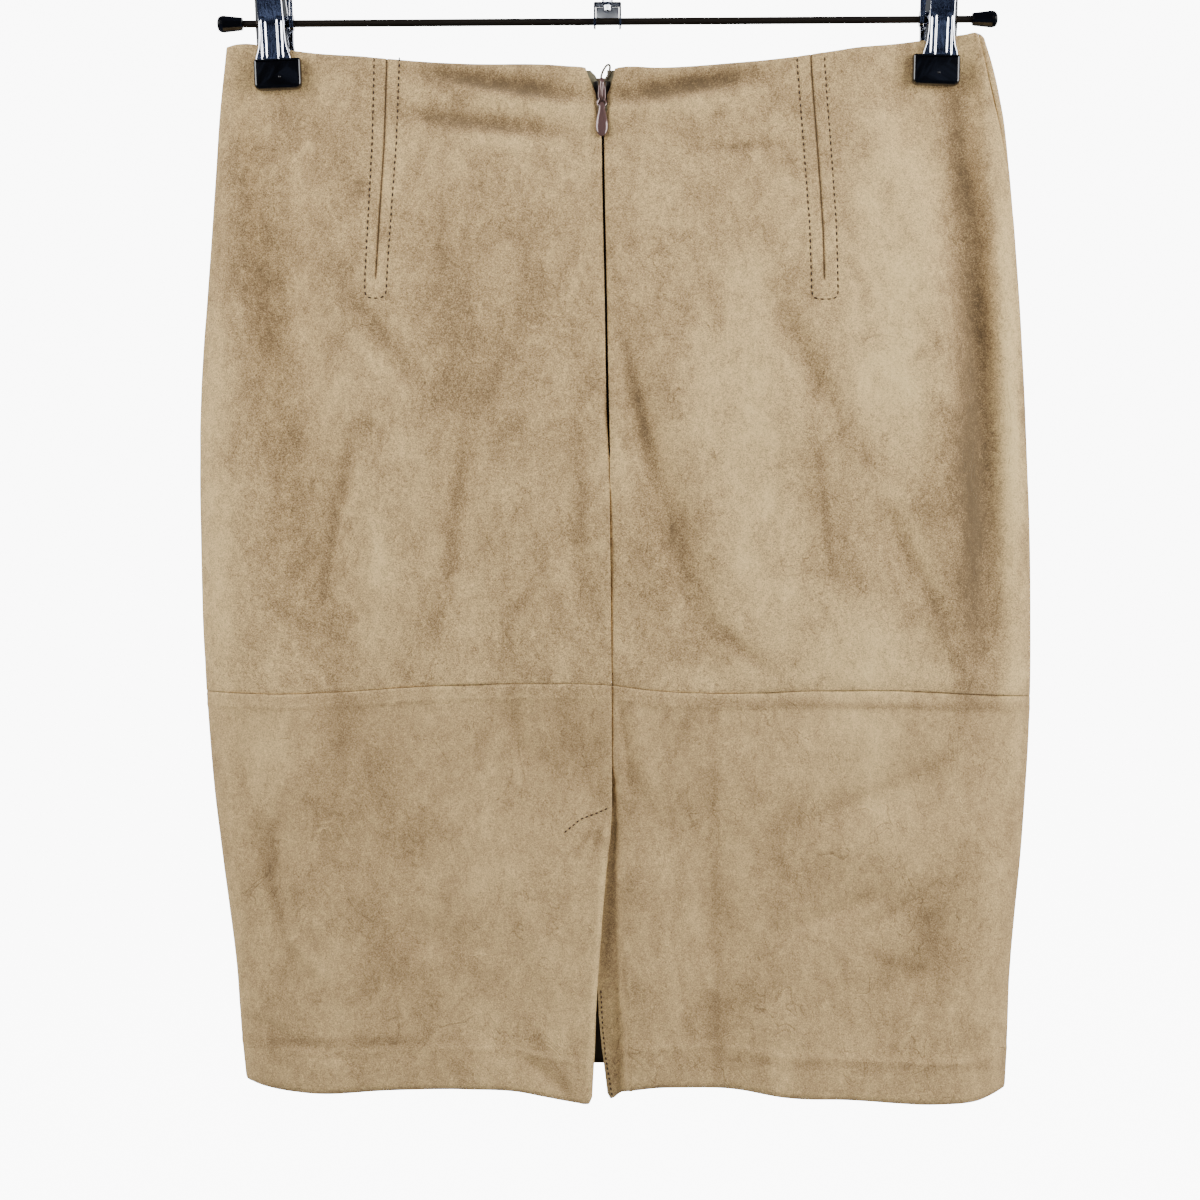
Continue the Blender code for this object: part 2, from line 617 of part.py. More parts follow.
def slider(face, look):
    """The slider's body and the bridge over its face, which the pull hangs in."""
    middle = height_of(SLIDER_TOP + SLIDER_LENGTH / 2)
    body = block("zip_slider", (SLIDER_WIDTH, SLIDER_DEPTH, SLIDER_LENGTH),
                 (SLIDER_X, face + SLIDER_DEPTH / 2, middle), look, edge=0.7)
    inner = axis_out(face) - 0.8
    outer = inner - BRIDGE_BAR
    bottom = PULL_AXIS_DROP + 0.8 + BRIDGE_BAR
    bridge_length = bottom - BRIDGE_TOP
    bridge_middle = height_of(BRIDGE_TOP + bridge_length / 2)
    sunk = 0.8
    bridge = block("bridge", (BRIDGE_WIDTH, face + sunk - outer, bridge_length),
                   (SLIDER_X, (outer + face + sunk) / 2, bridge_middle), look)
    into = face + sunk / 2
    window = block("bridge_window", (BRIDGE_WIDTH * 3, into - inner, bridge_length - 2 * BRIDGE_BAR),
                   (SLIDER_X, (inner + into) / 2, bridge_middle), look)
    crown = block("bridge_crown", (BRIDGE_CROWN_WIDTH, BRIDGE_BAR + 0.6, BRIDGE_CROWN_LENGTH),
                  (SLIDER_X, outer + BRIDGE_BAR / 2 - 0.1, height_of(BRIDGE_TOP + 2.6)), look, edge=0.5)
    boolean(bridge, "DIFFERENCE", window)
    boolean(body, "UNION", bridge)
    boolean(body, "UNION", crown)


def pull_lean(rows, face):
    """The hanging pull leans out just enough to lie on the cloth below the slider."""
    clear = [
        (axis_out(face) - on_back(rows, SLIDER_X, PULL_AXIS_DROP + along)[1] + thick + PULL_CLEARANCE)
        / along
        for along, _, thick in PULL_PROFILE
    ]
    return math.asin(max(clear))


def waist_eye(rows, look):
    """The small wire eye on the end of the right tape, which a hook would close."""
    x, y, _ = on_back(rows, EYE_X, EYE_DROP)
    inset = WALL + LAYER_GAP + TAPE_SHEET / 2
    bpy.ops.mesh.primitive_torus_add(major_segments=14, minor_segments=6,
                                     major_radius=EYE_RADIUS * MM, minor_radius=EYE_WIRE * MM)
    eye = bpy.context.object
    eye.name = "waist_eye"
    eye.data.transform(Matrix.Translation(Vector((x, y + inset, height_of(EYE_DROP))) * MM)
                       @ Matrix.Rotation(math.radians(90), 4, "X"))
    eye.data.materials.append(look)


def oval_ring(mesh, half_width, half_thickness, along, sides=12):
    turns = [2 * math.pi * side / sides for side in range(sides)]
    return [mesh.verts.new(Vector((half_width * math.cos(t), half_thickness * math.sin(t), along)) * MM)
            for t in turns]


def pull(rows, face, look):
    """The drop-shaped pull with its eye; it turns about the wire of the eye's top."""
    mesh = bmesh.new()
    rings = [oval_ring(mesh, half, thick, -along) for along, half, thick in PULL_PROFILE]
    for upper, lower in zip(rings, rings[1:]):
        for side in range(len(upper)):
            after = (side + 1) % len(upper)
            mesh.faces.new([upper[side], upper[after], lower[after], lower[side]])
    mesh.faces.new(rings[0])
    mesh.faces.new(rings[-1])
    bmesh.ops.recalc_face_normals(mesh, faces=mesh.faces[:])
    drop_shape = place("zip_pull", mesh, look)
    bpy.ops.mesh.primitive_torus_add(major_segments=20, minor_segments=8,
                                     major_radius=PULL_EYE_RADIUS * MM, minor_radius=PULL_EYE_WIRE * MM)
    eye = bpy.context.object
    eye.name = "pull_eye"
    eye.data.transform(Matrix.Translation((0, 0, -PULL_EYE_RADIUS * MM))
                       @ Matrix.Rotation(math.radians(90), 4, "X"))
    boolean(drop_shape, "UNION", eye)
    axis = bpy.data.objects.new("pull_axis", None)
    bpy.context.collection.objects.link(axis)
    axis.location = Vector((SLIDER_X, axis_out(face), height_of(PULL_AXIS_DROP))) * MM
    axis.rotation_euler = (-pull_lean(rows, face), 0, 0)
    for thing in (drop_shape, eye):
        thing.parent = axis
    print("pull axis", tuple(round(value, 6) for value in axis.location))


def wire(name, route, radii, look, resolution=2):
    """A round wire along a route in millimetres, with its own radius at each point."""
    curve = bpy.data.curves.new(name, "CURVE")
    curve.dimensions = "3D"
    curve.bevel_depth = MM
    curve.bevel_resolution = resolution
    curve.use_fill_caps = True
    curve.materials.append(look)
    spline = curve.splines.new("POLY")
    spline.points.add(len(route) - 1)
    for point, place_at, radius in zip(spline.points, route, radii):
        point.co = (*(Vector(place_at) * MM), 1.0)
        point.radius = radius
    made = bpy.data.objects.new(name, curve)
    bpy.context.collection.objects.link(made)
    return made


def arc(centre_x, centre_z, radius, start, end, steps):
    """Points of an arc in the hanger's own plane, angles in degrees."""
    turns = np.radians(np.linspace(start, end, steps))
    return [(centre_x + radius * math.cos(t), 0.0, centre_z + radius * math.sin(t)) for t in turns]


# Hanger

def hook(look):
    """The hook: over the rod, back under it and down through the bracket to a riveted end."""
    radius = HOOK_INSIDE_RADIUS + HOOK_WIRE / 2
    middle = -HOOK_INSIDE_RADIUS
    reach = radius + HOOK_BACK_BEND
    bend_z = middle - math.sqrt(reach**2 - HOOK_BACK_BEND**2)
    meet = math.degrees(math.atan2(bend_z - middle, HOOK_BACK_BEND))
    route = arc(0, middle, radius, 205, meet, 26)
    route += arc(HOOK_BACK_BEND, bend_z, HOOK_BACK_BEND, meet + 180, 180, 6)[1:]
    radii = [HOOK_WIRE / 2] * len(route)
    plate = -BAR_BELOW_HOOK + BRACKET_TOP_ABOVE_BAR
    neck = HOOK_WIRE / 2
    stem = ((plate + 3.4, neck), (plate + 3.0, 2.9), (plate + GAP, 2.9), (plate + GAP - 0.02, neck),
            (plate - BRACKET_SHEET - GAP, neck), (plate - BRACKET_SHEET - GAP - 0.02, 2.7),
            (plate - BRACKET_SHEET - 3.0, 2.4), (plate - BRACKET_SHEET - 3.6, 1.4))
    route += [(0.0, 0.0, height) for height, _ in stem]
    radii += [size for _, size in stem]
    wire("hanger_hook", route, radii, look)


def turned(name, profile, look, segments=14):
    """A turned piece along X from (place along, radius) pairs that start and end on its axis."""
    mesh = bmesh.new()
    verts = [mesh.verts.new(Vector((along, 0.0, radius)) * MM) for along, radius in profile]
    edges = [mesh.edges.new(pair) for pair in zip(verts, verts[1:])]
    bmesh.ops.spin(mesh, geom=verts + edges, cent=(0, 0, 0), axis=(1, 0, 0), angle=2 * math.pi,
                   steps=segments, use_merge=True, use_duplicate=False)
    bmesh.ops.remove_doubles(mesh, verts=mesh.verts, dist=1e-7)
    bmesh.ops.recalc_face_normals(mesh, faces=mesh.faces[:])
    return place(name, mesh, look)


def bar_and_caps(bronze, vinyl):
    lean = -math.atan(BAR_RISE_PER_MM)
    middle = Vector((0, 0, -BAR_BELOW_HOOK * MM))
    radius = BAR_DIAMETER / 2
    ends = ((-BAR_HALF_LENGTH, 0), (-BAR_HALF_LENGTH, radius - 0.3), (-BAR_HALF_LENGTH + 0.3, radius))
    profile = ends + tuple((-along, size) for along, size in reversed(ends))
    pieces = [turned("hanger_bar", profile, bronze)]
    bore = radius + GAP
    start = BAR_HALF_LENGTH - CAP_LENGTH + CAP_PAST_BAR
    cap = ((start + CAP_LENGTH, 0), (start + CAP_LENGTH - 0.1, 2.2), (start + CAP_LENGTH - 0.7, 3.6),
           (start + CAP_LENGTH - 1.8, 4.4), (start + CAP_LENGTH - 3.4, CAP_OUTER_RADIUS),
           (start + 1.0, CAP_INNER_RADIUS + 0.15), (start + 0.2, CAP_INNER_RADIUS - 0.2),
           (start, CAP_INNER_RADIUS - 0.8), (start, bore),
           (BAR_HALF_LENGTH + GAP, bore), (BAR_HALF_LENGTH + GAP, 0))
    pieces.append(turned("bar_cap_right", cap, vinyl))
    pieces.append(turned("bar_cap_left", tuple((-along, size) for along, size in cap), vinyl))
    for thing in pieces:
        thing.location = middle
        thing.rotation_euler = (0, lean, 0)


def bracket(look):
    """The folded plate that rides on the bar and carries the hook."""
    top = -BAR_BELOW_HOOK + BRACKET_TOP_ABOVE_BAR
    foot = -BAR_BELOW_HOOK - BRACKET_FOOT_BELOW_BAR
    body = block("hanger_bracket", (BRACKET_WIDTH, BRACKET_DEPTH, top - foot),
                 (0, 0, (top + foot) / 2), look, edge=0.5, segments=1)
    inside = block("bracket_inside", (BRACKET_WIDTH - 2 * BRACKET_SHEET, BRACKET_DEPTH * 2, top - foot),
                   (0, 0, (top + foot) / 2 - BRACKET_SHEET), look)
    boolean(body, "DIFFERENCE", inside)
    bar_hole = turned("bracket_bar_hole", ((-12, 0), (-12, BAR_DIAMETER / 2 + GAP),
                                           (12, BAR_DIAMETER / 2 + GAP), (12, 0)), look)
    bar_hole.location = (0, 0, -BAR_BELOW_HOOK * MM)
    hook_hole = turned("bracket_hook_hole", ((-3, 0), (-3, HOOK_WIRE / 2 + GAP),
                                             (3, HOOK_WIRE / 2 + GAP), (3, 0)), look)
    hook_hole.location = (0, 0, top * MM)
    hook_hole.rotation_euler = (0, math.radians(90), 0)
    boolean(body, "DIFFERENCE", bar_hole)
    boolean(body, "DIFFERENCE", hook_hole)


def clip_plate(name, side, ear_inset, look):
    """One sheet of a clip: jaw, bend at the bar and lever, two pressed flutes and two ears."""
    columns = np.array((-1.0, -0.84, -0.72, -0.42, -0.3, 0.3, 0.42, 0.72, 0.84, 1.0))
    heights = np.array([row[0] for row in CLIP_PROFILE])[::-1]
    out = np.array([row[1] for row in CLIP_PROFILE])[::-1]
    half = np.array([row[2] for row in CLIP_PROFILE])[::-1]
    x = columns * half[:, None]
    flute = np.exp(-(((np.abs(columns * 7.7) - FLUTE_OFFSET) / FLUTE_HALF_WIDTH * 1.6) ** 4))
    fade = ease((2.0 - heights) / 4.0) * ease((heights + 19.5) / 1.5)
    raised = FLUTE_HEIGHT * flute * fade[:, None]
    points = np.stack([x, side * (out[:, None] + raised),
                       np.broadcast_to(heights[:, None], x.shape)], axis=-1)
    mesh = bmesh.new()
    bmesh.ops.create_grid(mesh, x_segments=len(columns) - 1, y_segments=len(heights) - 1, size=1.0)
    order = sorted(mesh.verts, key=lambda v: (-round(v.co.y, 5), round(v.co.x, 5)))
    for vert, place_at in zip(order, points.reshape(-1, 3) * MM):
        vert.co = place_at
    if side > 0:
        bmesh.ops.reverse_faces(mesh, faces=mesh.faces[:])
    plate = place(name, mesh, look)
    wall = plate.modifiers.new("sheet", "SOLIDIFY")
    wall.thickness = CLIP_SHEET * MM
    wall.offset = 0.0
    ear_at = half[list(heights).index(0.0)] - ear_inset
    for which in (-1, 1):
        ear = block(name + "_ear", (EAR_SHEET, out[list(heights).index(0.0)], 2 * EAR_RADIUS),
                    (0, side * out[list(heights).index(0.0)] / 2, 0), look)
        ear.data.transform(Matrix.Translation((which * ear_at * MM, 0, 0)))
        boss = turned(name + "_boss", ((-EAR_SHEET / 2, 0), (-EAR_SHEET / 2, EAR_RADIUS),
                                       (EAR_SHEET / 2, EAR_RADIUS), (EAR_SHEET / 2, 0)), look, 14)
        boss.data.transform(Matrix.Translation((which * ear_at * MM, 0, 0)))
        boolean(plate, "UNION", ear)
        boolean(plate, "UNION", boss)
    hole = turned(name + "_hole", ((-14, 0), (-14, BAR_DIAMETER / 2 + GAP),
                                   (14, BAR_DIAMETER / 2 + GAP), (14, 0)), look, 12)
    boolean(plate, "DIFFERENCE", hole)
    return [plate] + [step.object for step in plate.modifiers if step.type == "BOOLEAN"]


def clip(name, x, lean, chrome, vinyl):
    """A spring clip on the bar: two plates, the spring between them and two dipped jaws."""
    things = clip_plate(name + "_front_plate", -1, FRONT_EAR_INSET, chrome)
    things += clip_plate(name + "_back_plate", 1, BACK_EAR_INSET, chrome)
    bore = BAR_DIAMETER / 2 + GAP
    things.append(spring(name + "_spring", bore, chrome))
    jaw_y = PINCHED_HALF + GAP + PAD_THICKNESS / 2
    jaw_z = -PAD_TOP_BELOW_BAR - GAP - PAD_HEIGHT / 2
    for side, word in ((-1, "front"), (1, "back")):
        things.append(block(name + "_" + word + "_jaw", (PAD_WIDTH, PAD_THICKNESS, PAD_HEIGHT),
                            (0, side * jaw_y, jaw_z), vinyl, edge=PAD_ROUNDING))
    middle = bpy.data.objects.new(name, None)
    bpy.context.collection.objects.link(middle)
    middle.location = Vector((x, 0, -BAR_BELOW_HOOK + x * BAR_RISE_PER_MM)) * MM
    middle.rotation_euler = (0, -math.radians(lean), 0)
    for thing in things:
        thing.parent = middle


def spring(name, bore, look):
    """The coil round the bar, as the sleeve that its turns fill."""
    half = SPRING_HALF_LENGTH
    mesh = bmesh.new()
    profile = ((-half, bore), (-half, SPRING_RADIUS), (half, SPRING_RADIUS), (half, bore))
    verts = [mesh.verts.new(Vector((along, 0.0, radius)) * MM) for along, radius in profile]
    edges = [mesh.edges.new((verts[i], verts[(i + 1) % 4])) for i in range(4)]
    bmesh.ops.spin(mesh, geom=verts + edges, cent=(0, 0, 0), axis=(1, 0, 0), angle=2 * math.pi,
                   steps=14, use_merge=True, use_duplicate=False)
    bmesh.ops.remove_doubles(mesh, verts=mesh.verts, dist=1e-7)
    bmesh.ops.recalc_face_normals(mesh, faces=mesh.faces[:])
    return place(name, mesh, look)


clear_scene()
suede = finish("tan_suede", SUEDE, 0.95)
upper_back_rows = upper_back(suede)
lower_back(suede)
front(suede)
zip_pieces(upper_back_rows, finish("zip_tape", TAPE, 0.9), finish("mauve_enamel", MAUVE, 0.25))
chrome_sheet = finish("chrome", CHROME, 0.15, 1.0)
black = finish("black_vinyl", BLACK_VINYL, 0.3)
hook(chrome_sheet)
bracket(chrome_sheet)
bar_and_caps(finish("bronze_lacquer", BRONZE, 0.4, 0.6), black)
clip("clip_left", CLIP_LEFT_X, CLIP_LEFT_LEAN, chrome_sheet, black)
clip("clip_right", CLIP_RIGHT_X, CLIP_RIGHT_LEAN, chrome_sheet, black)
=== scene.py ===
# %% [markdown]
# A suede pencil skirt on a clip hanger
#
# The skirt hangs by its waist from two spring clips. We see its back: a zip and a vent in the middle,
# two top-stitched darts and a seam across at knee height. The CAD frame gives the size and the places
# of all parts. This lesson dresses it: it makes the suede with its creases and seams, the thread, the
# zip's coil and the metal finishes.

import math

import bmesh
import bpy
import numpy as np
from mathutils import Matrix, Vector, noise


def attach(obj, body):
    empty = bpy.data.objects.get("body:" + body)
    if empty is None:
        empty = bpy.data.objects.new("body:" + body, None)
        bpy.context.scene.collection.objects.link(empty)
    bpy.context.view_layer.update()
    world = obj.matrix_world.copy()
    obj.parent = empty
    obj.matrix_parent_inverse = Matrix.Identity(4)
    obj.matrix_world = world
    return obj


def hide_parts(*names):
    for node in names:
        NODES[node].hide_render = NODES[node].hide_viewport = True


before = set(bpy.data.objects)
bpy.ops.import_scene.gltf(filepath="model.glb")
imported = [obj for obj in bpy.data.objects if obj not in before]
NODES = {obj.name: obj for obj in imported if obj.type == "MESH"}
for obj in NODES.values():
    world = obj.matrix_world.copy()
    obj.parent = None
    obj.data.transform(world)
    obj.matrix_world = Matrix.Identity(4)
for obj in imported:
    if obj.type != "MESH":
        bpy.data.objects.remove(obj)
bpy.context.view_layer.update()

# %% [markdown]
# The camera comes first, because everything is judged through it. The photo was taken straight on,
# from a little over a metre. We work in millimetres below the middle of the waist, which we call a
# drop, as a dressmaker measures down from the waistband, and turn them to metres at the end.

# %% Units and camera
MM = 0.001
WAIST_HEIGHT = -97.4
CAMERA_DISTANCE = 1250.0
FRAME_WIDTH = 660.0


def to_world(points):
    """Millimetres with the drop as height to metres in the frame."""
    return (np.asarray(points, float) + np.array([0.0, 0.0, WAIST_HEIGHT])) * MM


camera_data = bpy.data.cameras.new("camera")
camera_data.sensor_fit = "HORIZONTAL"
camera_data.angle = 2 * math.atan(FRAME_WIDTH / 2 / CAMERA_DISTANCE)
camera = bpy.data.objects.new("camera", camera_data)
camera.location = (-0.0041, -CAMERA_DISTANCE * MM, -0.3901)
camera.rotation_euler = (math.radians(90), 0, 0)
bpy.context.collection.objects.link(camera)
bpy.context.scene.camera = camera
print("camera angle", round(math.degrees(camera_data.angle), 2))

# %% [markdown]
# A material in Blender is a small graph. These two helpers keep each one short to read: one turns a
# colour as painters write it, a hex value, into the linear numbers that light is worked out in, and
# one adds a node with its settings and links.

# %% Colour and node helpers


def linear(code):
    """sRGB hex to linear RGBA."""
    parts = [int(code[i:i + 2], 16) / 255 for i in (1, 3, 5)]
    return tuple(c / 12.92 if c <= 0.04045 else ((c + 0.055) / 1.055) ** 2.4 for c in parts) + (1.0,)


def new_material(name):
    made = bpy.data.materials.new(name)
    made.use_nodes = True
    return made, made.node_tree, made.node_tree.nodes["Principled BSDF"]


def add(tree, kind, settings=None, **links):
    """Adds a node. Settings are properties, and links are inputs by name: a socket or a value."""
    node = tree.nodes.new(kind)
    for key, value in (settings or {}).items():
        setattr(node, key, value)
    for key, value in links.items():
        slot = int(key[1:]) if key[0] == "i" and key[1:].isdigit() else key.replace("_", " ")
        if isinstance(value, bpy.types.NodeSocket):
            tree.links.new(value, node.inputs[slot])
        else:
            node.inputs[slot].default_value = value
    return node


# %% [markdown]
# Suede is the flesh side of a hide, sanded to a short nap. It is quite matt, with a faint sheen where
# the fibres stand to the light. Wherever a hand has brushed it the fibres lie another way, so it is
# clouded with lighter and darker patches of every size, from a palm's width down to the fibres. We
# build that from layers of noise at real sizes. On top comes an attribute that we paint on the mesh
# further down: strokes of painted shade along the folds and creases and painted highlights on their
# ridges and the rounded sides, with a few nap patches among them.

# %% Suede material
BELOW_KNEE, ABOVE_KNEE = -0.445, -0.435  # heights in metres on both sides of the knee seam


def suede_finish(name, colours):
    made, tree, shader = new_material(name)
    place = add(tree, "ShaderNodeTexCoord").outputs["Object"]
    hanging = add(tree, "ShaderNodeMapping", Vector=place, Scale=(1.0, 1.0, 0.6),
                  Rotation=(0.0, math.radians(6), 0.0)).outputs["Vector"]

    def clouds(size, detail, space=place, distortion=0.8):
        return add(tree, "ShaderNodeTexNoise", Vector=space, Scale=1000.0 / size, Detail=detail,
                   Roughness=0.6, Distortion=distortion).outputs["Fac"]

    def combined(operation, *values):
        return add(tree, "ShaderNodeMath", {"operation": operation},
                   **{f"i{index}": value for index, value in enumerate(values)}).outputs[0]

    layers = (
        # size in mm, detail, weight, stretched downwards
        (60.0, 3.0, 0.50, True),
        (22.0, 6.0, 0.74, True),
        (8.0, 4.0, 0.58, True),
        (3.0, 2.0, 0.40, False),
        (1.1, 2.0, 0.50, False),
        (0.6, 1.0, 1.55, False),
    )
    total = 0.0
    for size, detail, weight, stretched in layers:
        centred = combined("SUBTRACT", clouds(size, detail, hanging if stretched else place), 0.5)
        total = combined("ADD", combined("MULTIPLY", centred, weight), total)
    # The upper panels were cut from livelier skin than those below the knee seam
    height = add(tree, "ShaderNodeSeparateXYZ", Vector=place).outputs["Z"]
    lively = add(tree, "ShaderNodeMapRange", i0=height, i1=BELOW_KNEE, i2=ABOVE_KNEE,
                 i3=0.84, i4=1.12).outputs[0]
    total = combined("MULTIPLY_ADD", total, lively, 0.5)
    # Fine creases: thin lines where a cloud passes its middle value, only in some places
    bumps = 0.0
    for size, width, strength in ((26.0, 0.014, -0.16), (17.0, 0.012, 0.14)):
        line = combined("ABSOLUTE", combined("SUBTRACT", clouds(size, 2.0, hanging, 1.6), 0.5))
        crease = add(tree, "ShaderNodeMapRange", i0=line, i1=0.0, i2=width, i3=1.0, i4=0.0).outputs[0]
        shown = add(tree, "ShaderNodeMapRange", i0=clouds(size * 1.3, 2.0, place, 0.3), i1=0.44, i2=0.60,
                    i3=0.0, i4=1.0).outputs[0]
        crease = combined("MULTIPLY", combined("MULTIPLY", crease, shown), strength)
        total = combined("ADD", crease, total)
        bumps = combined("ADD", crease, bumps)
    # The attribute holds painted shade in the folds and painted highlights on ridges and sides, with a
    # few nap patches
    stroked_shade_and_nap = add(tree, "ShaderNodeAttribute", {"attribute_name": "nap_and_painted_shade"}).outputs["Fac"]
    # The ramp runs from a total of -0.5 to one of 1.5, so the strongest strokes still keep their grain
    shade = combined("MULTIPLY_ADD", combined("ADD", total, stroked_shade_and_nap), 0.5, 0.25)
    ramp = add(tree, "ShaderNodeValToRGB", i0=shade)
    while len(ramp.color_ramp.elements) < len(colours):
        ramp.color_ramp.elements.new(0.5)
    for element, (position, colour) in zip(ramp.color_ramp.elements, colours):
        element.position, element.color = position, linear(colour)
    tree.links.new(ramp.outputs["Color"], shader.inputs["Base Color"])
    shader.inputs["Roughness"].default_value = 0.95
    shader.inputs["Specular IOR Level"].default_value = 0.15
    shader.inputs["Sheen Weight"].default_value = 0.25
    shader.inputs["Sheen Roughness"].default_value = 0.5
    shader.inputs["Sheen Tint"].default_value = linear("#f2e2c8")
    fibres = add(tree, "ShaderNodeTexNoise", Vector=place, Scale=1000.0 / 0.9, Detail=2.0, Roughness=0.7)
    grain = add(tree, "ShaderNodeTexNoise", Vector=place, Scale=1000.0 / 3.5, Detail=3.0, Roughness=0.6)
    fine = add(tree, "ShaderNodeBump", Height=fibres.outputs["Fac"], Strength=0.35, Distance=0.0004)
    rough = add(tree, "ShaderNodeBump", Height=grain.outputs["Fac"], Strength=0.30, Distance=0.0008,
                Normal=fine.outputs["Normal"])
    creased = add(tree, "ShaderNodeBump", Height=bumps, Strength=0.6, Distance=0.0025,
                  Normal=rough.outputs["Normal"])
    tree.links.new(creased.outputs["Normal"], shader.inputs["Normal"])
    return made


SUEDE = suede_finish("napped_tan_suede", (
    (0.10, "#66553d"), (0.31, "#8c7352"), (0.50, "#bc9e71"), (0.69, "#e6c68c"), (0.92, "#f6d99c"),
))
print("suede", len(SUEDE.node_tree.nodes), "nodes")

# %% [markdown]
# The lining isn't in the photo. We take it to be woven acetate, a thin slippery cloth, and make it
# darker than the suede. It shows only inside the tube, so one plain colour and a weave of 0.8 mm are
# enough. That is coarser than real threads, which are too fine to show.

# %% Lining material
LINING, tree, shader = new_material("dark_acetate_lining")
shader.inputs["Base Color"].default_value = linear("#6a5a45")
shader.inputs["Roughness"].default_value = 0.8
weave = add(tree, "ShaderNodeTexNoise", Vector=add(tree, "ShaderNodeTexCoord").outputs["Object"],
            Scale=1000.0 / 0.8, Detail=2.0)
tree.links.new(add(tree, "ShaderNodeBump", Height=weave.outputs["Fac"], Strength=0.2,
                   Distance=0.0003).outputs["Normal"], shader.inputs["Normal"])
print("lining", len(tree.nodes), "nodes")

# %% [markdown]
# The skirt is a tube. Its plain outline is a short table, a row for each height, and a smooth curve
# through each column gives every height between. We could shrink a cloth simulation onto a body, but
# then it would not lie on the solid. So the numbers are the CAD part's own, in millimetres. A few
# differ a little: the hem turns rounded corners at the vent, the slit over the zip is a tenth of a
# millimetre or so wider on each side, and the seams are closer than the solids' 0.3 mm.

# %% The skirt's outline
OUTLINE = {
    "drop": (-12, 0, 35, 67, 100, 133, 166, 199, 232, 265, 298, 331, 364, 397, 430, 463, 496, 529, 562),
    "left": (208.5, 209.6, 213.2, 215.3, 217.5, 219.9, 222.3, 223.5, 223.6, 223.2, 222.3, 220.6,
             218.4, 215.6, 211.6, 207.4, 203.6, 201.3, 198.0),
    "right": (202.5, 207.5, 216.8, 220.8, 223.8, 226.3, 228.2, 229.8, 231.1, 232.0, 232.4, 232.3,
              231.2, 229.2, 226.8, 223.6, 220.9, 219.7, 218.0),
    "back": (8.5, 9.5, 12.5, 16.5, 21.0, 25.0, 28.0, 30.0, 30.5, 30.5, 30.0, 29.0,
             28.0, 27.0, 26.5, 26.0, 26.0, 26.5, 27.0),
    "front": (7.5, 8.0, 10.0, 13.0, 16.0, 19.0, 21.5, 23.0, 24.0, 24.5, 24.5, 24.5,
              24.5, 24.5, 24.5, 24.5, 25.0, 25.5, 26.0),
    "round": (20.0, 22.0, 26.0, 31.0, 37.0, 43.0, 48.0, 52.0, 54.0, 55.0, 55.0, 55.0,
              55.0, 54.0, 53.0, 52.0, 52.0, 52.0, 52.0),
    "seam_roll": (6.0, 6.5, 6.5, 3.5, 1.5, 0.5, 0.0, 0.0, 0.0, 0.0, 0.0, 0.0,
                  0.0, 0.0, 0.0, 0.0, 0.0, 0.0, 0.0),
}
WAIST_LINE = {
    "x": (-208, -202, -182, -148, -112, -77, -34, -12, 4, 10, 28, 54, 89, 124, 159, 181, 196, 203, 208),
    "drop": (-11.0, -12.6, -10.2, -6.1, -2.3, -0.3, 0.0, 1.6, 2.2, 1.4, 1.6, 0.4, -2.6, -7.4, -12.8,
             -15.7, -17.9, -18.6, -15.0),
}
KNEE_SEAM = {
    "x": (-222, -169, -148, -97, -33, 2, 20, 54, 116, 162, 201, 232),
    "drop": (342.5, 343.5, 342.6, 339.2, 337.9, 338.6, 341.0, 343.0, 341.7, 341.8, 343.9, 345.2),
}
HEM_LINE = {
    "x": (-198, -190, -163, -111, -76, -50, -33, -16, -11.6, -9.6, -8.7, 0.5, 1.3, 3.0, 5.6, 9.9,
          18.5, 44, 70, 96, 131, 179, 201, 217),
    "drop": (555.0, 556.6, 559.4, 556.9, 556.2, 557.2, 560.4, 563.6, 564.2, 563.5, 561.4, 560.8,
             562.3, 562.4, 560.4, 558.2, 556.6, 555.5, 556.6, 561.0, 562.4, 565.3, 564.5, 560.0),
}
FRONT_WAIST_LINE = {
    "x": (-208, -202, -182, -90, 0, 90, 181, 196, 203, 208),
    "drop": (-11.0, -12.6, -10.2, 0.0, 4.0, -1.0, -15.7, -17.9, -18.6, -15.0),
}
FRONT_HEM_LINE = {
    "x": (-198, -190, -100, 0, 110, 201, 217),
    "drop": (555.0, 556.6, 554.0, 552.5, 556.0, 564.5, 560.0),
}
CENTRE_BACK = {
    "drop": (-3.0, 4.6, 9.0, 14.4, 19.9, 28.1, 40.0, 77.0, 130.0, 185.0, 212.0, 216.0, 338.0, 403.0),
    "left": (-12.8, -10.7, -8.5, -6.3, -5.8, -4.4, -3.2, -2.7, -1.6, -0.55, 0.5, 0.9, 2.25, 2.55),
    "right": (4.4, 3.3, 2.0, -0.2, 0.0, -1.1, -1.75, -1.25, -0.2, 0.85, 1.4, 1.1, 2.35, 2.65),
}
VENT_TOP = 403.0
VENT = {
    "drop": (338.0, 380.0, 396.0, 403.0, 418.6, 440.7, 461.7, 494.5, 517.6, 535.4, 566.0),
    "edge": (2.15, 2.35, 2.4, 2.45, 1.5, -0.9, -2.5, -4.9, -6.3, -6.8, -8.6),
    "crease": (3.3, 3.3, 3.3, 3.3, 3.5, 3.8, 4.4, 6.3, 7.7, 8.3, 9.0),
    "under": (-22.0, -22.0, -22.0, -22.0, -24.0, -20.0, -14.0, -5.8, -5.0, -3.4, 0.7),
    "tuck": (0.0, 0.2, 1.2, 2.1, 2.5, 3.0, 3.6, 4.8, 5.6, 6.2, 6.8),
}
TUCK_RUN = 5.0
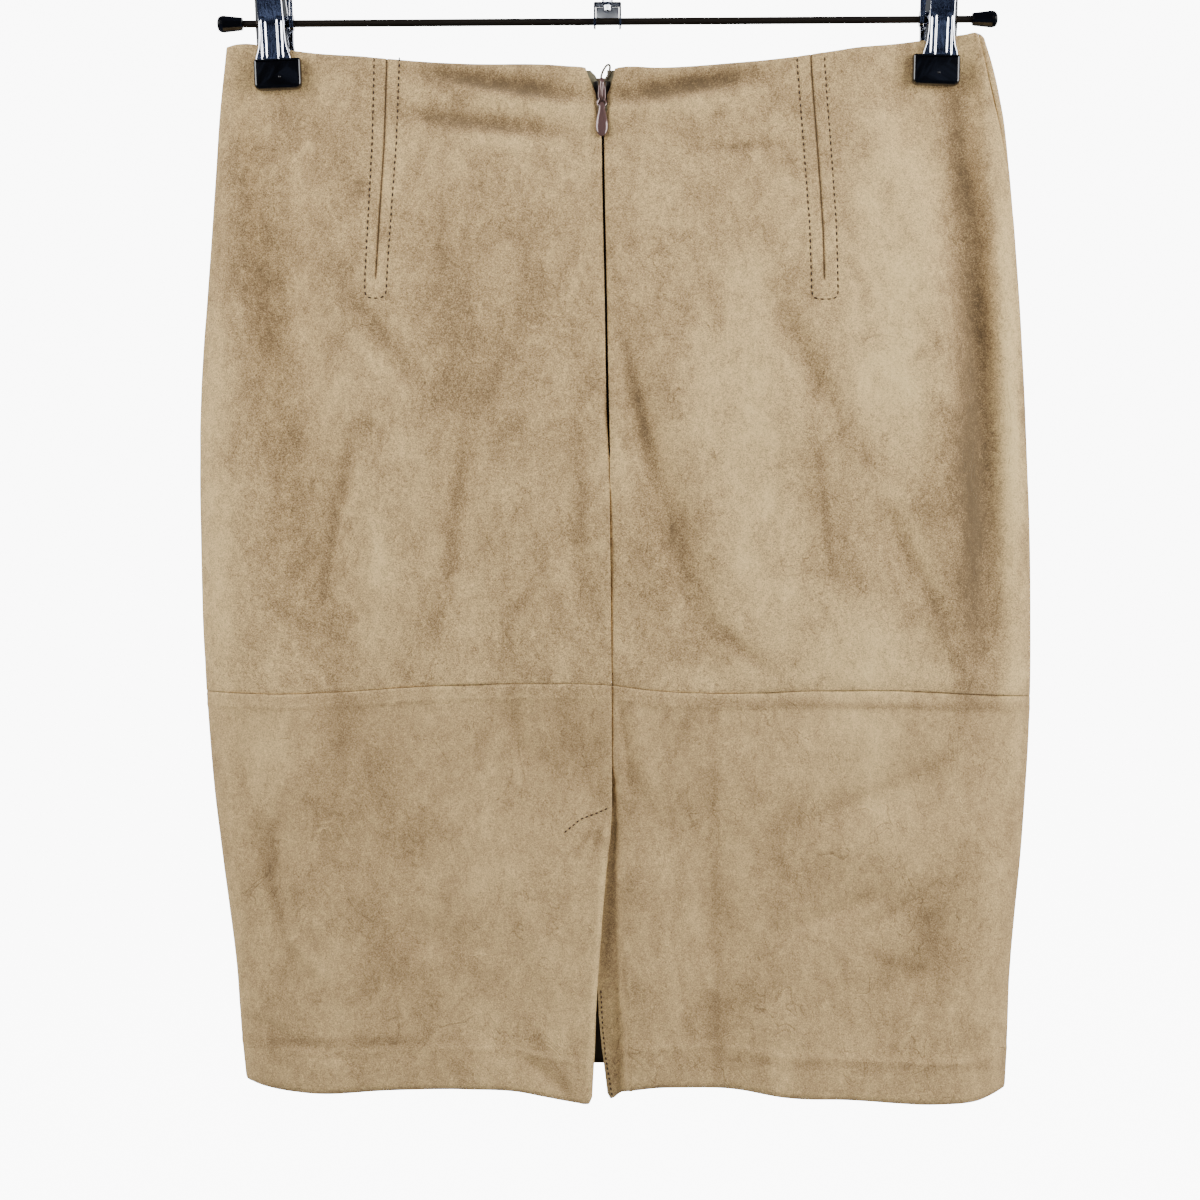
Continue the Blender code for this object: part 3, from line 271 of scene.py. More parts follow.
PINCH = {
    "drop": (-20, 18, 40, 70, 105, 150, 200, 260, 320, 400, 566),
    "pull": (1.0, 1.0, 0.86, 0.68, 0.56, 0.48, 0.40, 0.30, 0.18, 0.05, 0.0),
    "left_x": (-182, -182, -182, -181, -180, -177, -172, -163, -156, -150, -150),
    "right_x": (181, 181, 184, 190, 197, 203, 207, 209, 210, 210, 210),
    "flat": (17.0, 17.0, 11.0, 6.0, 3.0, 0.0, 0.0, 0.0, 0.0, 0.0, 0.0),
    "left_in": (34, 34, 32, 32, 34, 36, 38, 40, 40, 40, 40),
    "left_out": (12, 12, 15, 18, 22, 26, 30, 32, 34, 34, 34),
    "right_in": (30, 30, 30, 28, 26, 24, 23, 22, 22, 22, 22),
    "right_out": (12, 12, 14, 15, 16, 16, 17, 18, 18, 18, 18),
}
CROWN = 0.18
WALL = 1.4
PINCHED_HALF = WALL + 0.2
HEM_TURN_UP = 22.0
SEAM_GAP = 0.16
KNEE_DROP = 338.0
print("outline rows:", len(OUTLINE["drop"]))

# %% [markdown]
# Folds are troughs and ridges from one point to another, soft across and fading out at both ends. The
# first rows are the big ones that the CAD part has too, and then come the small creases of a skirt
# that has been worn, hung and ironed: drags at the waist, drapes from the seat, ripples by the knee.

# %% Folds of the back
BACK_FOLDS = (
    # name, x0, drop0, x1, drop1, half width, height
    ("seat_right", 9, 160, 49, 308, 10, -3.6),
    ("seat_right_ridge", 27, 150, 70, 290, 13, 2.2),
    ("hip_right", 88, 130, 120, 200, 10, -3.0),
    ("thigh_right", 108, 222, 101, 280, 9, -2.2),
    ("side_right", 150, 245, 166, 285, 9, -1.8),
    ("waist_left", -105, 3, -22, 14, 7, -1.9),
    ("waist_left_low", -80, 27, -32, 36, 7, -1.8),
    ("waist_right", 6, 16, 85, 8, 7, -1.7),
    ("seat_left", -79, 190, -82, 290, 9, -3.0),
    ("middle_left", -27, 226, -14, 292, 9, -2.6),
    ("hip_left", -140, 212, -151, 272, 9, -2.0),
    ("knee_left", -48, 348, -46, 382, 8, -1.7),
    ("knee_middle", -13, 348, -12, 402, 9, -2.2),
    ("lower_right", 56, 428, 60, 556, 14, -3.4),
    ("lower_side_right", 112, 414, 178, 388, 12, -2.3),
    ("hem_side_right", 158, 505, 194, 466, 10, -2.3),
    ("lower_side_left", -182, 408, -184, 482, 12, -2.3),
    ("lower_left", -112, 472, -70, 480, 10, -1.9),
    ("right_valley", 196, 40, 206, 330, 10, -3.2),
    ("right_rise", 176, 60, 184, 300, 12, 1.6),
    ("left_valley", -184, 60, -150, 300, 12, -2.0),
)
BACK_CREASES = (
    ("waist_drag_left", -92, 5, -18, 17, 3.6, -1.6),
    ("waist_drag_left_edge", -80, 14, -20, 25, 3.4, 1.4),
    ("waist_drag_left_low", -105, 27, -30, 37, 3.8, -1.3),
    ("waist_drag_left_foot", -90, 36, -34, 44, 4.0, 0.7),
    ("waist_drag_right", 8, 17, 74, 7, 3.6, -1.6),
    ("waist_drag_right_edge", 10, 25, 76, 15, 3.6, 1.3),
    ("waist_drag_right_low", 52, 46, 100, 44, 3.4, -0.8),
    ("dart_drag_left", -160, 82, -122, 150, 4.0, -0.6),
    ("dart_bottom_left", -130, 152, -100, 180, 3.5, -0.9),
    ("dart_drag_left_ridge", -150, 92, -108, 158, 4.0, 0.5),
    ("seat_crease_right", 10, 168, 30, 232, 2.8, -1.2),
    ("seat_crease_right_ridge", 18, 164, 42, 240, 4.0, 0.8),
    ("seat_crease_right_low", 30, 236, 46, 300, 4.5, -0.9),
    ("seat_crease_foot", 58, 306, 84, 330, 3.6, -1.1),
    ("dart_bottom_right", 96, 136, 120, 186, 4.6, -1.0),
    ("right_valley_floor", 201, 90, 206, 260, 5.0, -1.6),
    ("side_crease_right", 158, 258, 200, 338, 3.0, -0.8),
    ("side_crease_right_two", 172, 300, 204, 342, 3.0, 0.9),
    ("seat_crease_left", -66, 150, -76, 232, 4.6, -1.2),
    ("thigh_crease_left", -150, 205, -140, 240, 4.0, -1.1),
    ("middle_crease_left", -18, 180, -12, 232, 3.6, -1.0),
    ("centre_ripple_right", 8, 206, 20, 250, 3.4, -0.9),
    ("knee_ripple_left", -52, 350, -44, 378, 3.4, -1.1),
    ("vent_ripple", 6, 346, 14, 396, 3.0, -1.6),
    ("vent_ripple_side", 14, 350, 24, 400, 4.0, 0.9),
    ("vent_fold", 14, 410, 22, 540, 4.6, 1.1),
    ("vent_fold_low", 36, 440, 44, 540, 4.6, -1.1),
    ("hem_crease_left", -200, 520, -140, 541, 3.4, -0.6),
    ("hem_crease_left_two", -44, 540, -20, 560, 3.4, -1.3),
    ("hem_crease_right", 140, 470, 176, 448, 4.0, -1.0),
    ("side_ripple_left", -190, 410, -176, 470, 4.0, -1.1),
    ("side_ripple_left_low", -176, 470, -150, 500, 3.4, 0.9),
    ("lower_drape_left", -96, 400, -110, 470, 5.6, -1.1),
    ("lower_drape_middle", -56, 430, -30, 500, 5.6, 0.9),
    ("lower_drape_right", 100, 470, 150, 452, 4.6, -1.2),
    ("clip_drag_left", -168, 22, -140, 70, 4.6, -1.1),
    ("clip_drag_left_two", -160, 12, -125, 40, 3.4, 0.8),
    ("clip_drag_right", 168, 26, 150, 80, 4.6, -1.1),
    ("clip_drag_right_two", 160, 10, 130, 30, 3.4, -0.8),
)
print("folds:", len(BACK_FOLDS), "creases:", len(BACK_CREASES))

# %% [markdown]
# The front is not in the photo. We give it folds of the same kind and size as the back's, in other
# places, because a copy of the back's folds would look like one.

# %% Folds of the front
FRONT_FOLDS = (
    ("seat_left", -92, 120, -64, 300, 12, -3.2),
    ("seat_right", 96, 110, 58, 310, 12, -3.4),
    ("middle", 8, 180, -4, 330, 12, -2.8),
    ("waist_left", -100, 6, -28, 20, 8, -1.8),
    ("waist_right", 26, 18, 104, 4, 8, -1.8),
    ("hip_left", -152, 200, -140, 300, 11, -2.2),
    ("knee", -30, 350, -24, 410, 10, -2.2),
    ("lower_left", -118, 430, -108, 552, 14, -2.8),
    ("lower_right", 70, 440, 84, 554, 14, -3.0),
    ("lower_side", 150, 400, 176, 470, 12, -2.2),
)
FRONT_CREASES = (
    ("waist_drag_left", -110, 2, -40, 18, 3.0, -0.8),
    ("waist_drag_right", 40, 16, 110, 0, 3.0, -0.8),
    ("waist_drag_middle", -20, 30, 60, 34, 3.5, -0.6),
    ("clip_drag_left", -166, 20, -130, 80, 4.0, -0.6),
    ("clip_drag_right", 166, 20, 138, 84, 4.0, -0.6),
    ("lap_left", -120, 210, -60, 236, 4.0, -0.8),
    ("lap_middle", -40, 246, 40, 252, 4.0, -0.7),
    ("lap_right", 60, 240, 126, 214, 4.0, -0.8),
    ("thigh_left", -100, 150, -84, 230, 4.0, -0.7),
    ("thigh_right", 90, 160, 76, 240, 4.0, -0.7),
    ("side_left", -190, 250, -160, 320, 4.0, -0.7),
    ("side_right", 190, 240, 160, 326, 4.0, -0.8),
    ("knee_left", -90, 352, -84, 400, 3.0, -0.6),
    ("knee_right", 60, 350, 70, 404, 3.0, -0.6),
    ("lower_left", -60, 430, -80, 520, 5.0, -0.6),
    ("lower_middle", 6, 420, 14, 530, 5.0, 0.6),
    ("lower_right", 120, 450, 140, 500, 4.0, -0.6),
)
print("folds:", len(FRONT_FOLDS), "creases:", len(FRONT_CREASES))

# %% [markdown]
# These functions turn the tables into a form. The ring is the plain outline at one height, a flattened
# oval. The folds push it in and out, and the two clips pinch it flat. Each takes whole rows of points
# at once, because numpy is much quicker on a row than Python is on its points.

# %% Form functions


def smooth_through(keys, values, at):
    """A smooth curve through the values given at the keys."""
    keys, values = np.asarray(keys, float), np.asarray(values, float)
    slopes = np.gradient(values, keys)
    at = np.clip(at, keys[0], keys[-1])
    row = np.clip(np.searchsorted(keys, at, side="right") - 1, 0, len(keys) - 2)
    span = keys[row + 1] - keys[row]
    t = (at - keys[row]) / span
    ends = values[row] * (1 + 2 * t) * (1 - t) ** 2 + values[row + 1] * t**2 * (3 - 2 * t)
    return ends + span * t * (1 - t) * (slopes[row] * (1 - t) - slopes[row + 1] * t)


def read(table, column, at, key="drop"):
    return smooth_through(table[key], table[column], at)


def line_drop(table, x):
    return read(table, "drop", x, key="x")


def straight(table, column, drop):
    return np.interp(drop, table["drop"], table[column])


def ease(t):
    t = np.clip(t, 0.0, 1.0)
    return t * t * (3 - 2 * t)


def ring(drop, samples=721):
    """The plain outline at one height: length round it, x and y. The back half comes first."""
    left, right = read(OUTLINE, "left", drop), read(OUTLINE, "right", drop)
    half = (left + right) / 2
    across = -np.cos(np.linspace(0, math.pi, samples))
    x = (right - left) / 2 + across * half
    from_end = np.clip(half * (1 - np.abs(across)) / read(OUTLINE, "round", drop), 0, 1)
    depth = np.sqrt(1 - (1 - from_end) ** 2) * (1 - CROWN * across**2)
    x = np.concatenate([x, x[::-1][1:]])
    back, front = read(OUTLINE, "back", drop), read(OUTLINE, "front", drop)
    y = np.concatenate([-back * depth, front * depth[::-1][1:]])
    return np.concatenate([[0.0], np.cumsum(np.hypot(np.diff(x), np.diff(y)))]), x, y


def fold_height(folds, x, drop):
    height = np.zeros_like(x)
    for _, x0, drop0, x1, drop1, half_width, rise in folds:
        run, fall = x1 - x0, drop1 - drop0
        length = math.hypot(run, fall)
        along = ((x - x0) * run + (drop - drop0) * fall) / length
        across = ((x - x0) * fall - (drop - drop0) * run) / length
        fade = 0.35 * length
        ends = ease((along + fade) / (2 * fade)) * ease((length + fade - along) / (2 * fade))
        height += rise * ends * np.exp(-((across / half_width) ** 2))
    return height


def pinch(x, drop):
    flat = read(PINCH, "flat", drop)
    drawn = np.zeros_like(x)
    for side, inwards in (("left", 1), ("right", -1)):
        off = (x - read(PINCH, side + "_x", drop)) * inwards
        run = np.where(off > 0, read(PINCH, side + "_in", drop), read(PINCH, side + "_out", drop))
        drawn = np.maximum(drawn, 1 - ease((np.abs(off) - flat) / run))
    return np.clip(read(PINCH, "pull", drop), 0, 1) * drawn


def tuck(x, drop):
    run = (straight(VENT, "crease", drop) + TUCK_RUN - 1 - x) / TUCK_RUN
    return straight(VENT, "tuck", drop) * ease(run)


def drape(x, y, drop):
    """Moves points of the plain outline to where the clips and the folds take them."""
    back = y <= 0
    depth = np.abs(y)
    full = np.where(back, read(OUTLINE, "back", drop), read(OUTLINE, "front", drop))
    folds = np.where(back, fold_height(BACK_FOLDS, x, drop), fold_height(FRONT_FOLDS, x, drop))
    held = pinch(x, drop)
    open_depth = depth + folds * ease(depth / full / 0.8)
    held_depth = np.minimum(depth, PINCHED_HALF)
    return np.where(back, -1.0, 1.0) * (open_depth * (1 - held) + held_depth * held)


waist_width, hip_width = (round(float(np.ptp(ring(drop)[1]))) for drop in (0, 298))
print("waist is", waist_width, "mm across, hips", hip_width)

# %% [markdown]
# Each panel is a grid from bmesh, moved point by point onto the form. Its columns and rows are close
# together at the seams and at the stitching, where the cloth rolls in over a millimetre or two, and
# wider in between. A Solidify modifier gives the wall and the lining behind it.

# %% Rows of points
PROBE = 0.2


def row_points(at, drop, span, lines, shift):
    """Points of one row: at are lengths round the ring."""
    length, ring_x, ring_y = ring(drop)
    x = np.interp(at, length, ring_x, period=length[-1])
    y = np.interp(at, length, ring_y, period=length[-1])
    share = (drop - span[0]) / (span[1] - span[0])
    real_drop = line_drop(lines[0], x) * (1 - share) + line_drop(lines[1], x) * share
    return np.stack([x, drape(x, y, real_drop) + shift(x, real_drop), -real_drop], axis=-1)


def unmoved(x, drop):
    return 0.0


def drape_rows(drops, columns, lines, shift=unmoved):
    """Points and outward facings; columns(drop) gives the lengths round the ring."""
    points, facing = [], []
    span = (drops[0], drops[-1])
    for drop in drops:
        at = columns(drop)
        points.append(row_points(at, drop, span, lines, shift))
        along = (row_points(at + PROBE, drop, span, lines, shift)
                 - row_points(at - PROBE, drop, span, lines, shift))
        down = (row_points(at, drop + PROBE, span, lines, shift)
                - row_points(at, drop - PROBE, span, lines, shift))
        out = np.cross(down, along)
        facing.append(out / np.linalg.norm(out, axis=-1, keepdims=True))
    return np.array(points), np.array(facing)


NEAR_SEAM = np.array([0.0, 0.35, 0.8, 1.4, 2.2, 3.4, 5.0, 6.6, 7.6, 8.8])
NEAR_DART = np.array([0.0, 0.35, 0.8, 1.5, 2.6, 4.0, 5.2, 5.9, 6.4, 6.9, 7.4, 8.0, 9.2, 11.0])
STEP = 1.9


def filled(start, end, step=STEP):
    """Evenly spaced shares of the way between two places, at about the step."""
    count = max(2, round(abs(end - start) / step))
    return np.arange(1, count) / count


def between(stations):
    """Columns through stations given as (length, list of distances to each side)."""
    parts = []
    for (a, near_a), (b, near_b), share in stations:
        first, last = a + near_a[-1], b - near_b[-1]
        start = (a + near_a)[1 if parts else 0:]
        parts += [start, first + (last - first) * share, (b - near_b)[::-1]]
    return np.concatenate(parts)


print("columns at a seam:", len(NEAR_SEAM), "at a dart:", len(NEAR_DART))

# %% [markdown]
# Where two pieces of suede are sewn, the edges turn down into the seam and the allowance behind lifts
# a soft band beside it. A dart is a fold sewn away inside, so it shows the same way, with a row of
# stitches each side that pulls the cloth in. Real depth catches the light better than a painted line,
# so this relief moves the points of the mesh, by a millimetre at most.

# %% Relief at seams and stitching


def seam_roll(away, depth=0.9, run=1.1):
    """Cloth rolls down into a seam, and the allowance behind it lifts a soft band beside it."""
    band = 0.30 * ease((8.2 - away) / 1.6) * ease(away / 2.5)
    return band - depth * np.exp(-((away / run) ** 2))


DARTS = {
    "left": {"drop": (0.9, 43.6, 79.8, 118.7, 140.0), "x": (-120.6, -121.6, -123.4, -125.2, -125.6),
             "rows": ((-6.9, -5.7), (6.9, 5.9)), "end": 121.0, "foot": 130.0},
    "right": {"drop": (-0.7, 46.0, 89.0, 120.3, 140.0), "x": (111.2, 114.2, 116.6, 117.1, 117.3),
              "rows": ((-7.6, -7.0), (7.4, 7.2)), "end": 121.5, "foot": 130.5},
}


def dart_x(which, drop):
    return np.interp(drop, DARTS[which]["drop"], DARTS[which]["x"])


def dart_relief(which, x, drop):
    dart = DARTS[which]
    off = x - dart_x(which, drop)
    share = np.clip(drop / dart["foot"], 0, 1)
    fade = ease((dart["foot"] + 1.0 - drop) / 2.0)
    seam = -0.7 * np.exp(-((off / 0.55) ** 2)) * ease((dart["end"] - drop) / 4.0)
    raised = np.zeros_like(x)
    dents = np.zeros_like(x)
    for top, bottom in dart["rows"]:
        row = top + (bottom - top) * share
        dents += -0.38 * np.exp(-(((off - row) / 0.8) ** 2))
        raised = raised + 0.13
    inside = ease((9.5 - np.abs(off)) / 3.0)
    ripple = 0.10 * np.sin(drop / 3.6 * 2 * math.pi) * np.exp(-(((np.abs(off) - 7.6) / 1.6) ** 2))
    return fade * (seam + dents + raised * inside * ease(np.abs(off) / 2.0) + ripple)


def dart_shade(which, x, drop):
    """The dart's seam is a dark line, as no light gets down into it."""
    line = np.exp(-(((x - dart_x(which, drop)) / 0.5) ** 2))
    return 0.9 * line * ease((DARTS[which]["end"] - drop) / 4.0)


SOFT_SIZES = ((95.0, 1.6), (42.0, 1.1), (19.0, 0.55), (9.0, 0.22))


def undulation(points, seed):
    """The slight unevenness of real hide, in millimetres: noise at a few sizes."""
    flat = points.reshape(-1, 3)
    height = np.zeros(len(flat))
    for size, rise in SOFT_SIZES:
        offset = Vector((seed, size, 0.0))
        height += rise * np.array([noise.noise(Vector(point) / size + offset) for point in flat])
    return height.reshape(points.shape[:-1])


print("dart foot at drop", DARTS["left"]["foot"])

# %% [markdown]
# Light and shade are painted into the suede as strokes, with a few patches of brushed nap among them:
# each row is a stroke from one place to another with a half width, darker or lighter. The dark strokes
# are painted shade in the folds, the creases and the valley by the right side seam, the light ones are
# painted highlights on the ridges, the rounded sides and the vent's edge. They are soft, and the
# material's noise breaks up their edges.

# %% Strokes of painted light and shade
LIGHT_SHADE_AND_NAP_STROKES = (
    # name, x0, drop0, x1, drop1, half width, strength
    ("left_band_top", -196, 62, -182, 180, 15, -0.20),
    ("left_band", -180, 180, -160, 300, 18, -0.20),
    ("left_band_low", -150, 280, -150, 430, 14, -0.14),
    ("left_edge_light", -216, 180, -206, 400, 10, 0.24),
    ("left_hip_light", -126, 170, -122, 330, 16, 0.10),
    ("left_waist_shade", -150, 10, -140, 120, 24, -0.10),
    ("right_band_top", 189, 4, 195, 70, 6, -0.40),
    ("right_band", 197, 60, 200, 320, 10, -0.62),
    ("right_band_soft", 186, 190, 190, 320, 14, -0.26),
    ("right_panel_light", 150, 20, 162, 210, 22, 0.36),
    ("right_panel_light_low", 130, 290, 150, 420, 24, 0.20),
    ("right_edge_light", 217, 70, 221, 330, 6, 0.44),
    ("right_edge_light_low", 216, 350, 206, 520, 8, 0.14),
    ("seat_light_right", 70, 110, 84, 310, 26, 0.26),
    ("seat_light_beside", -2, 150, 14, 250, 5, 0.12),
    ("seat_dark_right", 9, 150, 25, 226, 3.6, -0.34),
    ("seat_dark_right_low", 26, 226, 50, 304, 7, -0.12),
    ("seat_dark_right_foot", 58, 306, 84, 334, 5, -0.24),
    ("seat_shade_right", 28, 236, 44, 300, 14, -0.08),
    ("waist_dark_left", -92, 6, -20, 17, 6, -0.60),
    ("waist_light_left", -70, 20, -24, 27, 4, 0.26),
    ("waist_dark_left_low", -108, 28, -34, 38, 6, -0.45),
    ("waist_light_left_low", -84, 40, -26, 46, 5, 0.20),
    ("waist_dark_right", 7, 17, 78, 6, 6, -0.60),
    ("waist_light_right", 12, 28, 70, 20, 5, 0.20),
    ("waist_dark_right_low", 48, 47, 96, 44, 3, -0.22),
    ("waist_curve_right", 94, 44, 103, 60, 3, -0.20),
    ("dart_dark_right", 92, 128, 120, 190, 6, -0.20),
    ("dart_dark_right_low", 126, 196, 144, 226, 6, -0.20),
    ("dart_light_right", 128, 130, 138, 196, 8, 0.20),
    ("thigh_line_right", 113, 214, 121, 276, 3, -0.26),
    ("side_line_right", 152, 246, 192, 334, 3.0, -0.24),
    ("side_line_right_light", 160, 244, 200, 330, 4, 0.16),
    ("middle_dark_left", -15, 200, -14, 296, 5, -0.24),
    ("middle_shade_left", -40, 130, -50, 330, 22, -0.10),
    ("seat_line_left", -77, 196, -88, 296, 5, -0.28),
    ("seat_shade_left", -96, 60, -84, 180, 16, -0.12),
    ("side_line_left", -139, 208, -154, 284, 3.4, -0.34),
    ("dart_foot_left", -136, 130, -100, 176, 4, -0.22),
    ("dart_foot_left_light", -146, 138, -112, 182, 4, 0.14),
    ("knee_dark", -24, 345, -14, 400, 14, -0.14),
    ("knee_dark_left", -150, 346, -120, 400, 16, -0.12),
    ("knee_ripple_left", -52, 350, -46, 380, 5, -0.20),
    ("allowance_right", 52, 348, 226, 351, 2.6, -0.26),
    ("knee_light_right", 60, 330, 200, 332, 5, 0.10),
    ("vent_dark_right", 14, 390, 18, 520, 8, -0.14),
    ("vent_line_right", 57, 350, 60, 556, 3.0, -0.14),
    ("vent_patch_right", 56, 500, 58, 550, 9, -0.18),
    ("lower_line_right", 108, 410, 192, 374, 3, -0.12),
    ("lower_patch_right", 164, 452, 186, 490, 9, -0.24),
    ("lower_line_hem", 136, 482, 176, 494, 3.4, -0.20),
    ("lower_light_left", -190, 345, -180, 400, 12, 0.16),
    ("side_curve_left", -178, 408, -184, 444, 3.4, -0.30),
    ("side_curve_left_low", -184, 444, -176, 470, 3.4, -0.24),
    ("lower_shade_left", -150, 440, -90, 500, 18, -0.12),
    ("hem_dark_left", -206, 533, -90, 530, 3, -0.18),
    ("vent_edge_light", -0.5, 420, -6.6, 494, 1.6, 0.28),
    ("vent_edge_light_low", -6.6, 494, -10.2, 562, 1.6, 0.28),
    ("bar_wrinkle", -8, 414, -17, 430, 2, -0.22),
    ("bar_wrinkle_two", -3, 412, -8, 432, 2, -0.22),
    ("underlap_shade", 2.5, 424, 0.5, 492, 3, -0.30),
    ("hem_line_middle", -44, 520, -20, 556, 4, -0.24),
    ("hem_dark_right", 60, 541, 208, 546, 3, -0.12),
)


def strokes_and_crease_shade_of(x, drop, creases):
    """Painted light and shade: the strokes, and painted shade that makes the valleys of the creases a
    little darker than their ridges.
    """
    return fold_height(LIGHT_SHADE_AND_NAP_STROKES, x, drop) + 0.07 * fold_height(creases, x, drop)


print("nap strokes:", len(LIGHT_SHADE_AND_NAP_STROKES))

# %% [markdown]
# All panels are made by one function. It makes the grid, moves its points to their places, stores the
# value of the nap and of the painted light and shade in each of them and cuts away what a panel doesn't
# have. The small helper before it turns a finished bmesh into an object, which every piece of this scene
# needs.

# %% Make one panel


def object_from(name, mesh, *looks):
    """An object in the scene from a finished bmesh, with its materials."""
    data = bpy.data.meshes.new(name)
    mesh.to_mesh(data)
    mesh.free()
    for look in looks:
        data.materials.append(look)
    made = bpy.data.objects.new(name, data)
    bpy.context.collection.objects.link(made)
    return made


def panel(name, points, facing, relief, nap_and_painted_shade, seed, drop_faces=None):
    """A grid laid on the points, with its relief, its attribute of nap and painted light and shade, wall
    and lining.
    """
    rows, columns = points.shape[:2]
    settle = np.clip((np.abs(points[..., 1]) - 2.2) / 6.0, 0, 1)
    lifted = points + facing * (relief + undulation(points, seed) * settle)[..., None]
    mesh = bmesh.new()
    layer = mesh.verts.layers.float.new("nap_and_painted_shade")
    bmesh.ops.create_grid(mesh, x_segments=columns - 1, y_segments=rows - 1, size=1.0)
    order = sorted(mesh.verts, key=lambda v: (-round(v.co.y, 6), round(v.co.x, 6)))
    for vert, place, value in zip(order, to_world(lifted).reshape(-1, 3), nap_and_painted_shade.reshape(-1)):
        vert.co = place
        vert[layer] = value
    if drop_faces is not None:
        gone = [face for face in mesh.faces if drop_faces(face.calc_center_median() / MM)]
        bmesh.ops.delete(mesh, geom=gone, context="FACES")
        loose = [vert for vert in mesh.verts if not vert.link_faces]
        bmesh.ops.delete(mesh, geom=loose, context="VERTS")
    for face in mesh.faces:
        face.smooth = True
    made = object_from(name, mesh, SUEDE, LINING)
    wall = made.modifiers.new("wall", "SOLIDIFY")
    wall.thickness = WALL * MM
    wall.offset = -1.0
    wall.material_offset = 1
    wall.material_offset_rim = 0
    return made, lifted


def declare_panel(piece, node):
    """What the frame is told of a panel: its body and its CAD node."""
    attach(piece, "skirt_on_hanger")
    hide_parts(node)


print("wall", WALL, "mm")

# %% [markdown]
# The rows of an upper panel run from the waist to the knee seam, and its columns from the side seam to
# the zip, with a dart between. The rows are closest at both seams, and closer beside the dart than
# below it, where there is little to show. The two panels meet in the middle along the zip's slit.

# %% Rows and columns of the upper panels
WAIST_ROWS = [0.0, 0.4, 1.0, 1.8, 3.0]
UPPER_DROPS = np.concatenate([
    WAIST_ROWS, np.arange(4.2, 134, 1.3), np.arange(135, 328, 1.9),
    KNEE_DROP - NEAR_SEAM[::-1]])
HALF_SEAM = SEAM_GAP / 2
ZIP_END = 216.0


def lowered(line, by):
    return {"x": line["x"], "drop": tuple(value + by for value in line["drop"])}


def on_the_back(drop, x):
    """The length round the ring of a place on the back."""
    length, ring_x, _ = ring(drop)
    half = len(ring_x) // 2 + 1
    return np.interp(x, ring_x[:half], length[:half])


def right_side(drop):
    length = ring(drop)[0]
    return length[len(length) // 2] - read(OUTLINE, "seam_roll", drop)


UPPER_LINES = (WAIST_LINE, lowered(KNEE_SEAM, -HALF_SEAM))
SHARES = {"left_outer": filled(0, 80), "left_inner": filled(0, 96),
          "right_inner": filled(0, 92), "right_outer": filled(0, 90)}


def upper_left_columns(drop):
    dart = on_the_back(drop, dart_x("left", drop))
    end = on_the_back(drop, straight(CENTRE_BACK, "left", drop))
    return between((((0.0, NEAR_SEAM), (dart, NEAR_DART), SHARES["left_outer"]),
                    ((dart, NEAR_DART), (end, NEAR_SEAM), SHARES["left_inner"])))


def upper_right_columns(drop):
    start = on_the_back(drop, straight(CENTRE_BACK, "right", drop))
    dart = on_the_back(drop, dart_x("right", drop))
    return between((((start, NEAR_SEAM), (dart, NEAR_DART), SHARES["right_inner"]),
                    ((dart, NEAR_DART), (right_side(drop), NEAR_SEAM), SHARES["right_outer"])))


print("rows of an upper panel:", len(UPPER_DROPS))

# %% [markdown]
# Each upper panel adds up its relief: the side seam, the edge at the zip, the knee seam, the waist's
# edge, the dart and the creases. Where a clip presses the two layers together there is no room for
# relief, so it fades there.

# %% Upper back panels


def distances(columns, drops, which):
    """How far each point is from its row's first or last column."""
    rows = [columns(drop) for drop in drops]
    return np.array([np.abs(row - row[which]) for row in rows])


def knee_relief(drops):
    """The seam across: a fine groove, and under it the ridge of the allowance pressed downwards."""
    below = np.asarray(drops)[:, None] - KNEE_DROP
    groove = -0.32 * np.exp(-((below / 0.7) ** 2))
    ridge = 0.30 * np.exp(-(((below - 7.5) / 1.2) ** 2))
    band = 0.16 * ease(below / 2.0) * ease((8.6 - below) / 1.6)
    return groove + ridge + band


def middle_relief(away, drop):
    """Beside the zip the edges turn in; below it they are sewn together in a finer groove."""
    zipped = ease((ZIP_END + 4.0 - drop) / 6.0)
    return zipped * seam_roll(away, 0.8, 1.3) + (1 - zipped) * seam_roll(away, 0.32, 0.7)


def waist_relief(drops):
    away = np.asarray(drops)[:, None] - drops[0]
    return -0.5 * np.exp(-((away / 0.9) ** 2))


def room_for_relief(points):
    """Little where the clips hold the two layers flat together, and full a few millimetres out."""
    return np.clip((np.abs(points[..., 1]) - 1.0) / 3.0, 0.15, 1)


def upper_back(which, columns, seam_column, zip_column, seed):
    points, facing = drape_rows(UPPER_DROPS, columns, UPPER_LINES)
    x, drop = points[..., 0], -points[..., 2]
    relief = seam_roll(distances(columns, UPPER_DROPS, seam_column)) * 0.9
    relief = relief + middle_relief(distances(columns, UPPER_DROPS, zip_column), drop)
    relief = relief + knee_relief(UPPER_DROPS) + waist_relief(UPPER_DROPS)
    relief = relief + dart_relief(which, x, drop) + fold_height(BACK_CREASES, x, drop)
    relief = relief * room_for_relief(points)
    # Painted light and shade: the strokes, the darker valleys of the creases and the dart's dark seam
    nap_and_painted_shade = strokes_and_crease_shade_of(x, drop, BACK_CREASES) - dart_shade(which, x, drop)
    return panel("back_panel_upper_" + which, points, facing, relief, nap_and_painted_shade, seed)


upper_left, left_points = upper_back("left", upper_left_columns, 0, -1, 3.0)
upper_right, right_points = upper_back("right", upper_right_columns, -1, 0, 11.0)
declare_panel(upper_left, "back_upper_left")
declare_panel(upper_right, "back_upper_right")
print("upper back grid", left_points.shape[:2], right_points.shape[:2])

# %% [markdown]
# The lower panels overlap at the vent. The left one's free edge lies on top, and the right one has an
# extension that tucks under it. It is one piece of suede, so we let the right panel's grid run on
# past the middle, push that part in by the tuck, and delete the faces above the vent's top.

